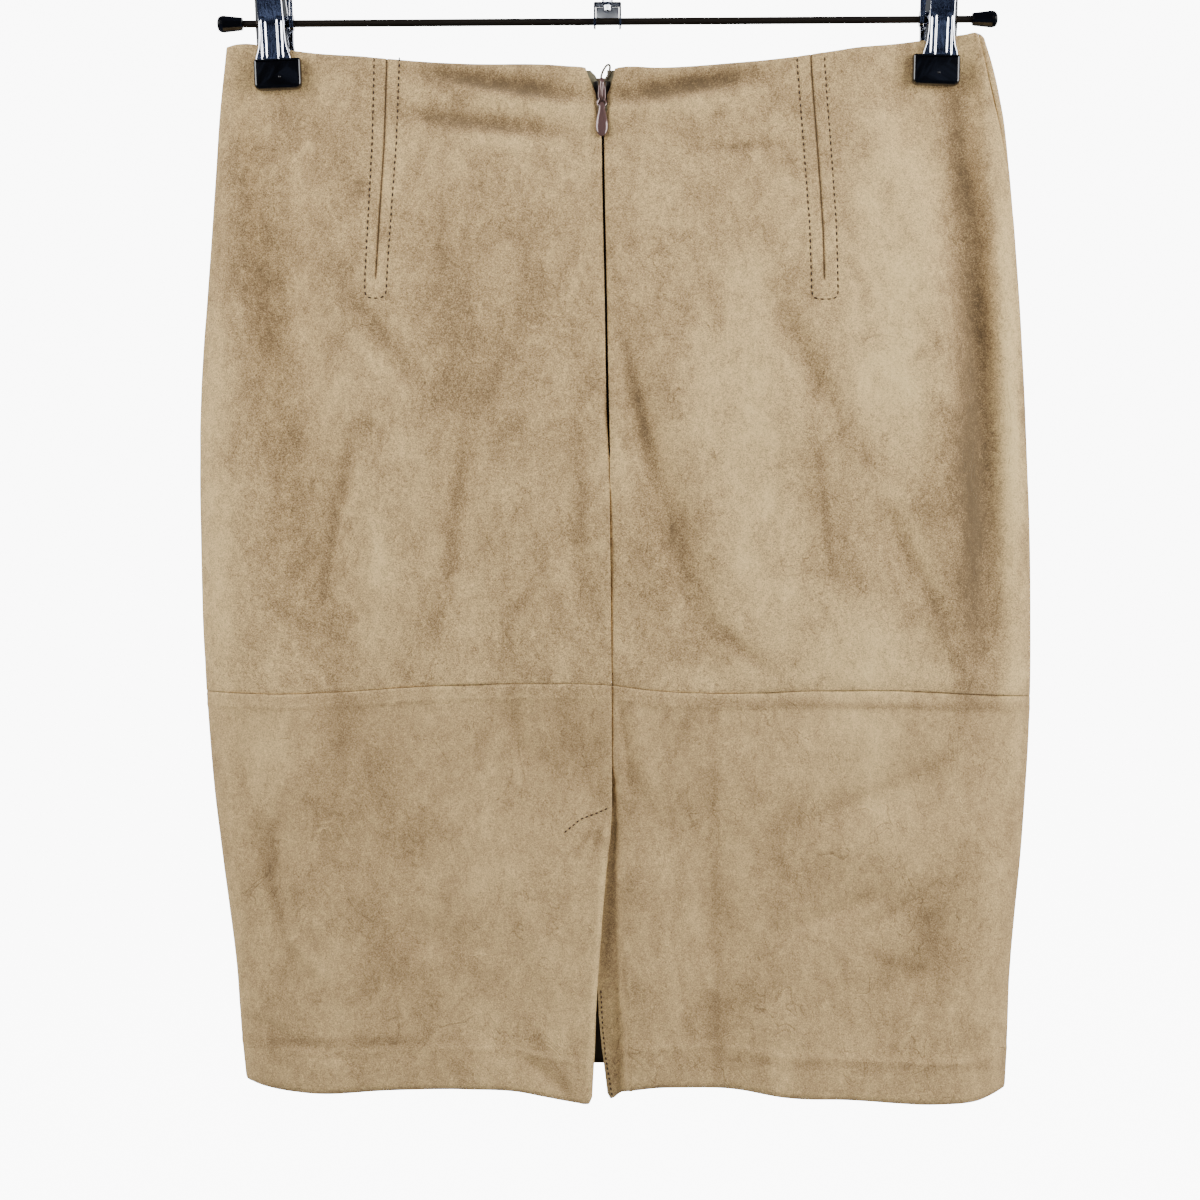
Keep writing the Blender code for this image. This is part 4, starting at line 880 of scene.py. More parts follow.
# %% Lower back panels
LOWER_DROPS = np.concatenate([
    KNEE_DROP + NEAR_SEAM, np.arange(348.5, 536, 1.9), np.arange(536.5, 545, 0.9),
    np.arange(546.5, 556, 2.2), [557.0, 558.4, 559.4, 560.0]])
LOWER_LINES = (lowered(KNEE_SEAM, HALF_SEAM), HEM_LINE)
LOWER_SHARES = {"left": filled(0, 195), "right": filled(0, 190)}


def lower_left_columns(drop):
    end = on_the_back(drop, straight(VENT, "edge", drop))
    return between((((0.0, NEAR_SEAM), (end, NEAR_SEAM), LOWER_SHARES["left"]),))


def lower_right_columns(drop):
    free = on_the_back(drop, straight(VENT, "under", drop))
    joined = on_the_back(drop, straight(CENTRE_BACK, "right", drop))
    main = between((((joined, NEAR_SEAM), (right_side(drop), NEAR_SEAM),
                     LOWER_SHARES["right"]),))
    under = free + (joined - free) * np.concatenate([[0, 0.03, 0.07], 0.1 + 0.9 * np.arange(0, 9) / 9])
    return np.concatenate([under, main])


def hem_relief(points, line):
    """The turned-up hem shows as a soft ridge where its edge lies inside, and rolls over at the fold."""
    above = line_drop(line, points[..., 0]) + points[..., 2]
    ridge = 0.45 * np.exp(-(((above - HEM_TURN_UP) / 1.6) ** 2)) * (above > -1)
    band = 0.25 * ease((HEM_TURN_UP - above) / 2.0)
    return ridge + band - 1.0 * np.exp(-((above / 1.1) ** 2))


def lower_back(which, columns, seam_column, shift, seed, cut=None):
    points, facing = drape_rows(LOWER_DROPS, columns, LOWER_LINES, shift)
    x, drop = points[..., 0], -points[..., 2]
    relief = seam_roll(distances(columns, LOWER_DROPS, seam_column)) * 0.9
    joined = (straight(VENT, "edge", drop) if which == "left" else straight(CENTRE_BACK, "right", drop))
    above_vent = ease((VENT_TOP - drop) / 3.0)
    relief = relief + middle_relief(np.abs(x - joined), drop) * above_vent
    if which == "left":
        relief = relief - 0.5 * np.exp(-((np.abs(x - joined) / 0.9) ** 2)) * (1 - above_vent)
    relief = relief + knee_relief(LOWER_DROPS) + hem_relief(points, HEM_LINE)
    relief = relief + fold_height(BACK_CREASES, x, drop)
    relief = relief * room_for_relief(points)
    # Painted light and shade: the strokes and the darker valleys of the creases
    nap_and_painted_shade = strokes_and_crease_shade_of(x, drop, BACK_CREASES)
    return panel("back_panel_lower_" + which, points, facing, relief, nap_and_painted_shade, seed, cut)


def over_the_vent(middle):
    drop = -middle.z + WAIST_HEIGHT
    return drop < VENT_TOP + 1 and middle.x < straight(CENTRE_BACK, "right", drop)


lower_left, lower_left_points = lower_back("left", lower_left_columns, 0, unmoved, 23.0)
lower_right, lower_right_points = lower_back("right", lower_right_columns, -1, tuck, 31.0,
                                             over_the_vent)
declare_panel(lower_left, "back_lower_left")
declare_panel(lower_right, "back_lower_right")
print("lower back grid", lower_left_points.shape[:2], lower_right_points.shape[:2])

# %% [markdown]
# The front is two plain panels, cut across at the knee as the back is. Nobody has seen it in the photo,
# so it has no dart, pocket or button that we would have to invent, and its grid can be wider.

# %% Front panels


def front_columns(drop):
    length = ring(drop)[0]
    start, end = right_side(drop), length[-1]
    return between((((start, NEAR_SEAM), (end, NEAR_SEAM), FRONT_SHARES),))


FRONT_SHARES = filled(0, 440, 3.2)
FRONT_UPPER_DROPS = np.concatenate([WAIST_ROWS, np.arange(5, 328, 3.0), KNEE_DROP - NEAR_SEAM[::-1]])


def front_panel(name, drops, lines, seed, hem=None):
    points, facing = drape_rows(drops, front_columns, lines)
    x, drop = points[..., 0], -points[..., 2]
    relief = (seam_roll(distances(front_columns, drops, 0))
              + seam_roll(distances(front_columns, drops, -1))) * 0.9
    relief = relief + knee_relief(drops) + fold_height(FRONT_CREASES, x, drop)
    if hem is not None:
        relief = relief + hem_relief(points, hem)
    relief = relief * room_for_relief(points)
    # The front takes the back's strokes of painted light and shade, mirrored and weaker, and painted
    # shade in its creases
    return panel(name, points, facing, relief, strokes_and_crease_shade_of(-x, drop, FRONT_CREASES) * 0.6, seed)


front_upper, _ = front_panel("front_panel_upper", FRONT_UPPER_DROPS,
                             (FRONT_WAIST_LINE, lowered(KNEE_SEAM, -HALF_SEAM)), 43.0)
front_lower, _ = front_panel("front_panel_lower", LOWER_DROPS,
                             (lowered(KNEE_SEAM, HALF_SEAM), FRONT_HEM_LINE), 51.0, FRONT_HEM_LINE)
declare_panel(front_upper, "front_upper")
declare_panel(front_lower, "front_lower")
print("front pieces", front_upper.name, front_lower.name)

# %% [markdown]
# The darts are top-stitched, a stitch every 3.6 mm, in a dark brown that is painted shade of the needle
# holes the thread sinks into. One short row bars the top of the vent, and another runs down the edge of
# the layer under it. A stitch is a short bar that dips at both ends. A bent tube for each would be a lot
# of faces, and one low ball, stretched to the stitch's length and repeated along each row, looks the
# same at this size.

# %% Stitching
# Spun polyester is matt and even, so the thread is one colour: a dark brown that is painted shade of its
# needle holes
THREAD_PAINTED_SHADE_DARK, _, shader = new_material("polyester_thread_painted_dark")
shader.inputs["Base Color"].default_value = linear("#3f2d1c")
shader.inputs["Roughness"].default_value = 0.7


def surface_at(grid, x, drop):
    """A point of the cloth's face, in millimetres, read from a panel's grid of points."""
    drops = [-np.interp(x, row[:, 0], row[:, 2]) for row in grid]
    outs = [np.interp(x, row[:, 0], row[:, 1]) for row in grid]
    return np.array([x, np.interp(drop, drops, outs), -drop])


def stitch_row(mesh, grid, path, pitch, length, width=0.95, lift=0.15):
    """Stitches along a path of (x, drop), a pitch apart."""
    path = np.asarray(path, float)
    runs = np.concatenate([[0.0], np.cumsum(np.hypot(*np.diff(path, axis=0).T))])
    for middle in np.arange(pitch / 2, runs[-1], pitch):
        ends = [surface_at(grid, *[np.interp(middle + off, runs, path[:, i]) for i in (0, 1)])
                for off in (-length / 2, length / 2)]
        along = Vector(ends[1] - ends[0]).normalized()
        out = Vector((0, -1, 0))
        across = along.cross(out).normalized()
        out = across.cross(along).normalized()
        centre = Vector((ends[0] + ends[1]) / 2) + out * lift
        half_axes = (along * length / 2, across * width / 2, out * width * 0.45)
        frame_of = Matrix(half_axes).transposed().to_4x4()
        frame_of.translation = centre + Vector((0, 0, WAIST_HEIGHT))
        made = bmesh.ops.create_icosphere(mesh, subdivisions=1, radius=1.0)
        bmesh.ops.transform(mesh, matrix=Matrix.Scale(MM, 4) @ frame_of, verts=made["verts"])


def dart_path(which):
    """Down one side of the dart, round its foot and up the other side."""
    dart = DARTS[which]
    foot = dart["foot"]
    sides = []
    for top, bottom in dart["rows"]:
        drops = np.linspace(-4, foot - 3.5, 40)
        sides.append([(dart_x(which, drop) + top + (bottom - top) * np.clip(drop / foot, 0, 1), drop)
                      for drop in drops])
    middle = dart_x(which, foot)
    left, right = dart["rows"][0][1], dart["rows"][1][1]
    corner = [(middle + left + 0.6, foot - 1.6), (middle + left + 2.0, foot - 0.3),
              (middle, foot), (middle + right - 2.0, foot - 0.3), (middle + right - 0.6, foot - 1.6)]
    return sides[0] + corner + sides[1][::-1]


UNDERLAP_ROW = ((-3.6, 503.0), (-2.6, 524.0), (-1.0, 540.0), (2.4, 561.0))
VENT_BAR_ROW = ((0.4, 404.6), (-6.0, 407.6), (-14.5, 410.6), (-24.1, 418.6))
mesh = bmesh.new()
stitch_row(mesh, left_points, dart_path("left"), 3.6, 2.5)
stitch_row(mesh, right_points, dart_path("right"), 3.6, 2.5)
stitch_row(mesh, lower_right_points, UNDERLAP_ROW, 2.8, 1.9, 0.8)
stitch_row(mesh, lower_left_points, VENT_BAR_ROW, 2.8, 2.0)
for face in mesh.faces:
    face.smooth = True
stitching = object_from("top_stitching", mesh, THREAD_PAINTED_SHADE_DARK)
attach(stitching, "skirt_on_hanger")
print("stitch triangles", len(stitching.data.polygons))

# %% [markdown]
# The hanger and the zip have plain finishes: one colour each, with the roughness and the coat that the
# real one has. A plain material keeps those numbers on the shader's own sockets. Only the chrome gets
# a pattern, very fine streaks along the sheet from its polishing, which break up what it mirrors.

# %% Metal and vinyl finishes


def plain_finish(name, colour, roughness, metallic=0.0, coat=0.0):
    made, _, shader = new_material(name)
    shader.inputs["Base Color"].default_value = linear(colour)
    shader.inputs["Roughness"].default_value = roughness
    shader.inputs["Metallic"].default_value = metallic
    shader.inputs["Coat Weight"].default_value = coat
    return made


# Plated chrome mirrors the room, with a slight blue cast
CHROME = plain_finish("chrome_plate", "#d4d6dc", 0.07, 1.0)
brushing = add(CHROME.node_tree, "ShaderNodeMapping", Scale=(1.0, 1.0, 0.22),
               Vector=add(CHROME.node_tree, "ShaderNodeTexCoord").outputs["Object"])
scratches = add(CHROME.node_tree, "ShaderNodeTexNoise", Vector=brushing.outputs["Vector"],
                Scale=1000.0 / 1.6, Detail=3.0, Roughness=0.6)
polished = add(CHROME.node_tree, "ShaderNodeBump", Height=scratches.outputs["Fac"], Strength=0.35,
               Distance=0.0002)
CHROME.node_tree.links.new(polished.outputs["Normal"],
                           CHROME.node_tree.nodes["Principled BSDF"].inputs["Normal"])
# Vinyl sets from a dip, so it is smooth, black and glossy
VINYL = plain_finish("dipped_vinyl", "#050506", 0.14, 0.0, 0.4)
# Lacquer over steel dulls its shine to a dark bronze
BRONZE = plain_finish("bronze_lacquered_steel", "#3a332b", 0.35, 0.8)
# Baked enamel on cast metal is a hard colour under a clear gloss
MAUVE = plain_finish("mauve_zip_enamel", "#6a504c", 0.16, 0.3, 0.8)
# Nylon wire is half glossy; the coil's near-black brown is partly its own colour and partly painted
# shade of the deep slit
COIL_WITH_SLIT_SHADE = plain_finish("nylon_coil_with_slit_shade", "#1e1914", 0.4)
# Braided cord is quite matt
CORD = plain_finish("olive_cord", "#554d3b", 0.7)
print("finishes:", CHROME.name, VINYL.name, BRONZE.name, MAUVE.name, COIL_WITH_SLIT_SHADE.name)

# %% [markdown]
# Zip tape is a narrow woven twill, matt, with fine ribs that run across it at a slant. A wave texture
# gives such ribs as bumps. They are 1.4 mm apart here, coarser than real ones, which are too fine to
# show.

# %% Zip tape material
TAPE, tree, shader = new_material("woven_zip_tape")
shader.inputs["Base Color"].default_value = linear("#7d7760")
shader.inputs["Roughness"].default_value = 0.9
place = add(tree, "ShaderNodeTexCoord").outputs["Object"]
ribs = add(tree, "ShaderNodeTexWave", {"bands_direction": "DIAGONAL"}, Vector=place,
           Scale=1000.0 / 3.2, Distortion=1.0)
tree.links.new(add(tree, "ShaderNodeBump", Height=ribs.outputs["Fac"], Strength=0.5,
                   Distance=0.0002).outputs["Normal"], shader.inputs["Normal"])
print("tape", TAPE.name)

# %% [markdown]
# The small hardware is made of a few simple forms: a round wire led along a route, a strip of sheet
# bent on a grid, and rounded blocks. One helper turns each finished bmesh into a piece that rides on
# its CAD body and stands for its CAD node.

# %% Helpers for hardware


def piece_of(name, mesh, look, node=None, body="skirt_on_hanger", angle=40):
    bmesh.ops.recalc_face_normals(mesh, faces=mesh.faces[:])
    made = object_from(name, mesh, look)
    made.data.shade_smooth()
    made.data.set_sharp_from_angle(angle=math.radians(angle))
    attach(made, body)
    if node is not None:
        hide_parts(node)
    return made


def tube(mesh, route, radius, sides=8, closed=False):
    """A round wire: a circle extruded from point to point of a route in millimetres."""
    route = [Vector(point) for point in route]
    radii = [radius] * len(route) if isinstance(radius, (int, float)) else radius
    across, last, first_edges, edges = None, None, None, None
    for index, here in enumerate(route):
        before = route[index - 1] if closed or index else here
        after = route[(index + 1) % len(route)] if closed or index < len(route) - 1 else here
        along = (after - before).normalized()
        across = along.orthogonal() if across is None else across - along * across.dot(along)
        across.normalize()
        turned = Matrix((across, along.cross(across), along)).transposed().to_4x4()
        frame_here = Matrix.Translation(here * MM) @ turned @ Matrix.Scale(radii[index] * MM, 4)
        if last is None:
            verts = bmesh.ops.create_circle(mesh, segments=sides, radius=1.0)["verts"]
            edges = first_edges = list({edge for vert in verts for edge in vert.link_edges})
            bmesh.ops.transform(mesh, matrix=frame_here, verts=verts)
        else:
            made = bmesh.ops.extrude_edge_only(mesh, edges=edges)["geom"]
            verts = [item for item in made if isinstance(item, bmesh.types.BMVert)]
            fresh = set(verts)
            edges = [item for item in made
                     if isinstance(item, bmesh.types.BMEdge) and fresh.issuperset(item.verts)]
            bmesh.ops.transform(mesh, matrix=frame_here @ last.inverted(), verts=verts)
        last = frame_here
    if closed:
        bmesh.ops.bridge_loops(mesh, edges=first_edges + edges)
    else:
        bmesh.ops.holes_fill(mesh, edges=first_edges + edges, sides=0)


def grid_of(mesh, points):
    """A grid moved onto rows of points in millimetres."""
    made = bmesh.ops.create_grid(mesh, x_segments=len(points[0]) - 1, y_segments=len(points) - 1,
                                 size=1.0)["verts"]
    made.sort(key=lambda vert: (-round(vert.co.y, 5), round(vert.co.x, 5)))
    for vert, place in zip(made, (point for row in points for point in row)):
        vert.co = Vector(place) * MM


def rounded_block(mesh, size, middle, steps):
    """A box with its edges rounded in steps of (radius, which edges), sizes in millimetres."""
    made = bmesh.ops.create_cube(mesh, size=1.0)["verts"]
    bmesh.ops.scale(mesh, vec=Vector(size) * MM, verts=made)
    bmesh.ops.translate(mesh, vec=Vector(middle) * MM, verts=made)
    for radius, wanted in steps:
        edges = [edge for edge in mesh.edges if wanted(edge)]
        bmesh.ops.bevel(mesh, geom=edges, offset=radius * MM, affect="EDGES", segments=5, profile=0.5,
                        material=-1)


print("helpers ready")

# %% [markdown]
# A spring clip is two pieces of pressed sheet. Each has a face with two flutes that stiffen it and
# sides that splay back to the bar; the flutes show as pairs of bright lines. We draw the cross
# section once and let it change down the clip's length.

# %% Clip plates
HANGER_BAR_Z = -72.0
BAR_RISE = 0.0066
CLIPS = {"clip_left": (-182.0, 2.5, -1), "clip_right": (181.0, -1.5, 1)}
PLATE = {
    # height over the bar, distance out, half width of the face, how far back the sides go
    "height": (-22.0, -19.0, -15.0, -8.0, 0.0, 4.0, 14.0, 24.0),
    "out": (4.2, 4.4, 4.8, 5.7, 7.0, 8.2, 11.6, 15.0),
    "half": (10.2, 9.8, 8.5, 7.6, 7.3, 7.25, 7.1, 7.0),
    "back": (0.6, 0.9, 2.2, 4.2, 5.6, 5.0, 3.6, 1.2),
}
SPLAY = 0.36
FLUTE_AT, FLUTE_HALF, FLUTE_RISE = 4.4, 1.4, 0.9
FRONT_SHIFT = 2.2  # the front plate sits a little outwards of the back one, as the photo shows
SHEET = 0.7
BORE, BORE_RIM = 2.3, 4.1


def clip_frame(x, lean):
    return (Matrix.Translation(Vector((x, 0, HANGER_BAR_Z + x * BAR_RISE)) * MM)
            @ Matrix.Rotation(-math.radians(lean), 4, "Y"))


def plate_section(height, side, shift):
    """One row across a plate: side, rolled corner, fluted face, rolled corner, side."""
    out, half, back = (float(read(PLATE, column, height, key="height"))
                       for column in ("out", "half", "back"))
    across = np.linspace(-half, half, 57)
    fade = float(ease((1.5 - height) / 3.0) * ease((height + 21.0) / 2.0))
    flutes = sum(ease((FLUTE_HALF + 0.5 - np.abs(across - at)) / 1.3) for at in (-FLUTE_AT, FLUTE_AT))
    corner = np.clip(1.0 - (half - np.abs(across)) / 1.3, 0, 1)
    out_y = out + FLUTE_RISE * flutes * fade - 1.3 * (1 - np.sqrt(1 - corner**2))
    sides = np.linspace(0, 1, 6)[1:]
    left = [(-half - SPLAY * back * t, out - 1.3 - back * t) for t in sides[::-1]]
    right = [(half + SPLAY * back * t, out - 1.3 - back * t) for t in sides]
    row = left + list(zip(across, out_y)) + right
    return [(x + shift, side * max(y, 0.5), height) for x, y in row]


def clip_plate(name, side):
    x, lean, outer = CLIPS[name]
    shift = outer * FRONT_SHIFT if side < 0 else 0.0
    mesh = bmesh.new()
    grid_of(mesh, [plate_section(height, side, shift) for height in np.linspace(24.0, -22.0, 40)])
    for which in (-1, 1):
        at = which * (7.3 + SPLAY * 5.6) * (0.98 if side < 0 else 0.84)
        rings = [[(at + thick, radius * math.cos(t), radius * math.sin(t))
                  for t in np.linspace(0, 2 * math.pi, 25)]
                 for thick, radius in ((-0.4, BORE), (-0.4, BORE_RIM), (0.4, BORE_RIM),
                                       (0.4, BORE), (-0.4, BORE))]
        grid_of(mesh, rings)
    bmesh.ops.remove_doubles(mesh, verts=mesh.verts, dist=1e-7)
    bmesh.ops.transform(mesh, matrix=clip_frame(x, lean), verts=mesh.verts)
    word = "front" if side < 0 else "back"
    plate = piece_of(name + "_" + word + "_sheet", mesh, CHROME,
                     name + "_" + word + "_plate", angle=55)
    wall = plate.modifiers.new("sheet", "SOLIDIFY")
    wall.thickness = SHEET * MM
    wall.offset = -1.0


for name in CLIPS:
    for side in (-1, 1):
        clip_plate(name, side)
print("clip plates made")

# %% [markdown]
# Between the two plates a torsion spring turns about the bar: seven turns of wire with a straight leg
# to each plate. The jaws were dipped in black vinyl, which leaves them rounded and glossy, with a
# small drip mark in the middle.

# %% Springs and jaws


def spring_route():
    leg_front = [(-4.4, -4.2, -9.0), (-4.4, -3.6, -4.0)]
    turns = [(-4.2 + 8.4 * t / 7.0, -3.3 * math.cos(2 * math.pi * t), 3.3 * math.sin(2 * math.pi * t))
             for t in np.linspace(0, 7.0, 113)]
    leg_back = [(4.4, 3.6, -4.0), (4.4, 4.0, -9.0)]
    return leg_front + turns[:-8] + leg_back


def clip_spring(name):
    x, lean, _ = CLIPS[name]
    mesh = bmesh.new()
    tube(mesh, spring_route(), 0.55, sides=6)
    bmesh.ops.transform(mesh, matrix=clip_frame(x, lean), verts=mesh.verts)
    piece_of(name + "_coil", mesh, CHROME, name + "_spring")


JAW_SIZE = (26.0, 4.6, 16.8)


def clip_jaw(name, side):
    x, lean, _ = CLIPS[name]
    middle = (0.0, side * 4.2, -28.6)
    low = (middle[2] - JAW_SIZE[2] / 2) * MM
    mesh = bmesh.new()

    def runs_back(edge):
        return abs(edge.verts[0].co.y - edge.verts[1].co.y) > 1e-4

    rounded_block(mesh, JAW_SIZE, middle, (
        (3.2, lambda edge: runs_back(edge) and edge.verts[0].co.z < low + 1e-4),
        (1.3, lambda edge: runs_back(edge) and edge.verts[0].co.z > low + 10e-3),
        (1.9, lambda edge: all(side * vert.co.y > 6.4 * MM for vert in edge.verts)),
    ))
    nib = bmesh.ops.create_icosphere(mesh, subdivisions=2, radius=0.75 * MM)["verts"]
    bmesh.ops.translate(mesh, vec=Vector((1.2, side * 6.3, -30.6)) * MM, verts=nib)
    bmesh.ops.transform(mesh, matrix=clip_frame(x, lean), verts=mesh.verts)
    word = "front" if side < 0 else "back"
    piece_of(name + "_" + word + "_dipped_jaw", mesh, VINYL,
             name + "_" + word + "_jaw", angle=60)


for name in CLIPS:
    clip_spring(name)
    for side in (-1, 1):
        clip_jaw(name, side)
print("springs and jaws made")

# %% [markdown]
# The zip's tapes lie behind the suede and follow it, so we read their place from the same grids of
# points. The chain is a nylon coil: two rows of rounded loops, one and a half millimetres from turn to
# turn where they interlock. Above the slider the two rows lie apart. A low ball for each turn is
# enough, as only a slit of the chain shows.

# %% Zip tapes and chain
ZIP_ROWS = np.concatenate([np.arange(3.0, 28.0, 1.5), np.arange(28.0, 230.0, 4.0)])
TAPE_BEHIND = 2.1
TAPE_HALF = 14.0
TAPES_MEET = 27.0
SLIDER_X = -3.1
CHAIN_TOP, CHAIN_MEET, CHAIN_END, CHAIN_STEP = 9.5, 21.5, 215.0, 0.75


def chain_x(drop):
    return (straight(CENTRE_BACK, "left", drop) + straight(CENTRE_BACK, "right", drop)) / 2


def behind(grid, x, drop, depth):
    at = surface_at(grid, x, drop)
    return (at[0], at[1] + depth, at[2] + WAIST_HEIGHT)


def tape_edges(side, drop):
    """Outer and inner edge of a tape: apart at the waist, beside the chain from the slider down."""
    middle = chain_x(drop)
    if drop < TAPES_MEET:
        middle = np.interp(drop, (0, TAPES_MEET), (SLIDER_X, chain_x(TAPES_MEET)))
    reach = np.interp(drop, (20, 24), (2.8, 1.3))
    inner = middle + side * reach
    if side < 0:
        inner = min(inner, -9.3 + 0.95 * (drop - 3.0)) if drop < 9 else inner
    return chain_x(max(drop, TAPES_MEET)) + side * TAPE_HALF, inner


def zip_tape(side, word, grid):
    mesh = bmesh.new()
    rows = []
    for drop in ZIP_ROWS:
        outer, inner = tape_edges(side, drop)
        rows.append([behind(grid, x, drop, TAPE_BEHIND) for x in np.linspace(outer, inner, 8)])
    grid_of(mesh, rows)
    tape = piece_of("tape_" + word, mesh, TAPE, "zip_tape_" + word)
    wall = tape.modifiers.new("tape", "SOLIDIFY")
    wall.thickness = 0.5 * MM
    wall.offset = 0.0


zip_tape(-1, "left", left_points)
zip_tape(1, "right", right_points)


def coil_loop(mesh, place, shift, width):
    """One turn of the coil, as a low ball."""
    loop = bmesh.ops.create_icosphere(mesh, subdivisions=1, radius=1.0)["verts"]
    bmesh.ops.scale(mesh, vec=(width * MM, 0.6 * MM, 0.5 * MM), verts=loop)
    bmesh.ops.translate(mesh, vec=Vector((place[0] + shift, place[1], place[2])) * MM, verts=loop)


mesh = bmesh.new()
for count, drop in enumerate(np.arange(CHAIN_MEET, CHAIN_END, CHAIN_STEP)):
    place = behind(left_points, chain_x(drop), drop, TAPE_BEHIND)
    coil_loop(mesh, place, 0.45 if count % 2 else -0.45, 0.85)
for side, grid in ((-1, left_points), (1, right_points)):
    for drop in np.arange(CHAIN_TOP, CHAIN_MEET, CHAIN_STEP):
        place = behind(grid, tape_edges(side, drop)[1], drop, TAPE_BEHIND - 0.5)
        coil_loop(mesh, place, side * 0.4, 1.5)
piece_of("zip_coil", mesh, COIL_WITH_SLIT_SHADE, "zip_chain", angle=80)
print("zip follows the cloth down to drop", ZIP_ROWS[-1])

# %% [markdown]
# The slider is a small cast body with a bridge over it. The body is a flat outline, so we draw half of
# it, mirror the points, extrude it and bevel its rim. The bridge is a tube that grows thinner
# towards the bottom. The slider stays on the skirt's body, because it doesn't run in this model.

# %% Slider
PULL_AXIS = Vector((-3.1, -11.493, -115.6))
SLIDER_FACE = PULL_AXIS.y + 0.9
# Half the body's outline: distance from the middle, drop
BODY_HALF = ((0.0, 10.7), (1.2, 11.0), (1.9, 12.4), (2.1, 15.0), (2.2, 18.0), (2.0, 20.2),
             (1.1, 21.0), (0.0, 21.1))
BODY_THICK = 3.2
BRIDGE = (
    # distance out from the body, drop, radius
    (-0.6, 9.2, 1.0), (1.4, 9.3, 1.25), (2.1, 10.4, 1.35), (2.3, 12.5, 1.3), (2.3, 15.5, 0.75),
    (2.2, 18.0, 0.5), (1.8, 19.3, 0.5), (0.9, 19.8, 0.5), (-0.4, 19.9, 0.5),
)
mesh = bmesh.new()
whole = list(BODY_HALF) + [(-x, drop) for x, drop in BODY_HALF[-2:0:-1]]
corners = [mesh.verts.new(Vector((SLIDER_X + x, SLIDER_FACE, WAIST_HEIGHT - drop)) * MM)
           for x, drop in whole]
risen = bmesh.ops.extrude_face_region(mesh, geom=[mesh.faces.new(corners)])["geom"]
bmesh.ops.translate(mesh, vec=(0, BODY_THICK * MM, 0),
                    verts=[item for item in risen if isinstance(item, bmesh.types.BMVert)])
rims = [edge for edge in mesh.edges if abs(edge.verts[0].co.y - edge.verts[1].co.y) < 1e-6]
bmesh.ops.bevel(mesh, geom=rims, offset=0.5 * MM, affect="EDGES", segments=3, profile=0.5,
                material=-1)
tube(mesh, [(SLIDER_X, SLIDER_FACE - off, WAIST_HEIGHT - drop) for off, drop, _ in BRIDGE],
     [radius for _, _, radius in BRIDGE], sides=12)
piece_of("zip_slider_body", mesh, MAUVE, "zip_slider")
print("slider at", [round(v, 1) for v in PULL_AXIS])

# %% [markdown]
# A bail of wire hangs in the bridge and carries the drop-shaped pull, which leans on the cloth. The
# pull rides on its own body, because it is the part that swings. It is drawn hanging straight down from
# the axis, as rings that widen and close, and then turned until it just rests on the suede.

# %% Pull
DROP_SHAPE = (
    # distance below the axis, half width, half thickness
    (3.35, 0.6, 0.3), (3.7, 1.2, 0.55), (4.6, 1.65, 0.85), (6.5, 1.75, 0.9), (9.0, 2.15, 1.0),
    (11.5, 2.75, 1.15), (14.2, 3.25, 1.3), (17.3, 3.45, 1.35), (19.6, 3.05, 1.15), (21.4, 2.2, 0.85),
    (22.4, 1.2, 0.5), (22.7, 0.4, 0.2),
)
axis_drop = WAIST_HEIGHT - PULL_AXIS.z
BESIDE = ((left_points, -5.5), (right_points, 0.5))
cloth = [min(surface_at(grid, x, axis_drop + along)[1] for grid, x in BESIDE)
         for along, _, _ in DROP_SHAPE]
lean = max(math.asin((PULL_AXIS.y + thick + 0.25 - out) / along)
           for (along, _, thick), out in zip(DROP_SHAPE, cloth))
mesh = bmesh.new()
bodies = [[(half * math.cos(t), thick * math.sin(t), -along) for t in np.linspace(0, 2 * math.pi, 25)]
          for along, half, thick in DROP_SHAPE]
grid_of(mesh, bodies)
bmesh.ops.remove_doubles(mesh, verts=mesh.verts, dist=1e-7)
bmesh.ops.holes_fill(mesh, edges=[edge for edge in mesh.edges if edge.is_boundary], sides=0)
side_of_bail = ((1.4, -5.4), (2.3, -4.4), (2.4, -3.6), (1.3, -1.0), (0.7, -0.2))
bail = ([(-x, 0, z) for x, z in side_of_bail] + [(0, 0, 0.05)]
        + [(x, 0, z) for x, z in side_of_bail[::-1]])
tube(mesh, bail, 0.5)
hang = Matrix.Translation(PULL_AXIS * MM) @ Matrix.Rotation(-lean, 4, "X")
bmesh.ops.transform(mesh, matrix=hang, verts=mesh.verts)
piece_of("zip_pull_drop", mesh, MAUVE, "zip_pull", body="zip_pull")
print("pull leans", round(math.degrees(lean), 1), "degrees")

# %% [markdown]
# A loop of cord stands up from the end of the right tape. It would take a hook, to close the waist
# over the zip. It is an oval, so we work its points out from two half axes, tilt it and let its
# depth follow the cloth that it is sewn behind.

# %% Waist loop
LOOP_X, LOOP_DROP, LOOP_HALF_WIDTH, LOOP_HALF_LENGTH = -1.1, 4.6, 1.7, 5.0
tilt = math.radians(22)
route = []
for turn in np.linspace(0, 2 * math.pi, 30)[:-1]:
    across, up = LOOP_HALF_WIDTH * math.cos(turn), LOOP_HALF_LENGTH * math.sin(turn)
    x = LOOP_X + across * math.cos(tilt) + up * math.sin(tilt)
    drop = LOOP_DROP - up * math.cos(tilt) + across * math.sin(tilt)
    route.append(behind(right_points, x, max(drop, 2.4), 1.3)[:2] + (WAIST_HEIGHT - drop,))
mesh = bmesh.new()
tube(mesh, route, 0.6, closed=True)
piece_of("waist_loop", mesh, CORD, "waist_eye")
print("loop of", len(route), "points")

# %% [markdown]
# The bracket that holds the hook is a folded sheet. The CAD part has its legs. Between them the photo
# shows something pale and dull, which we take to be the sheet's back wall, and make as a bare plate.

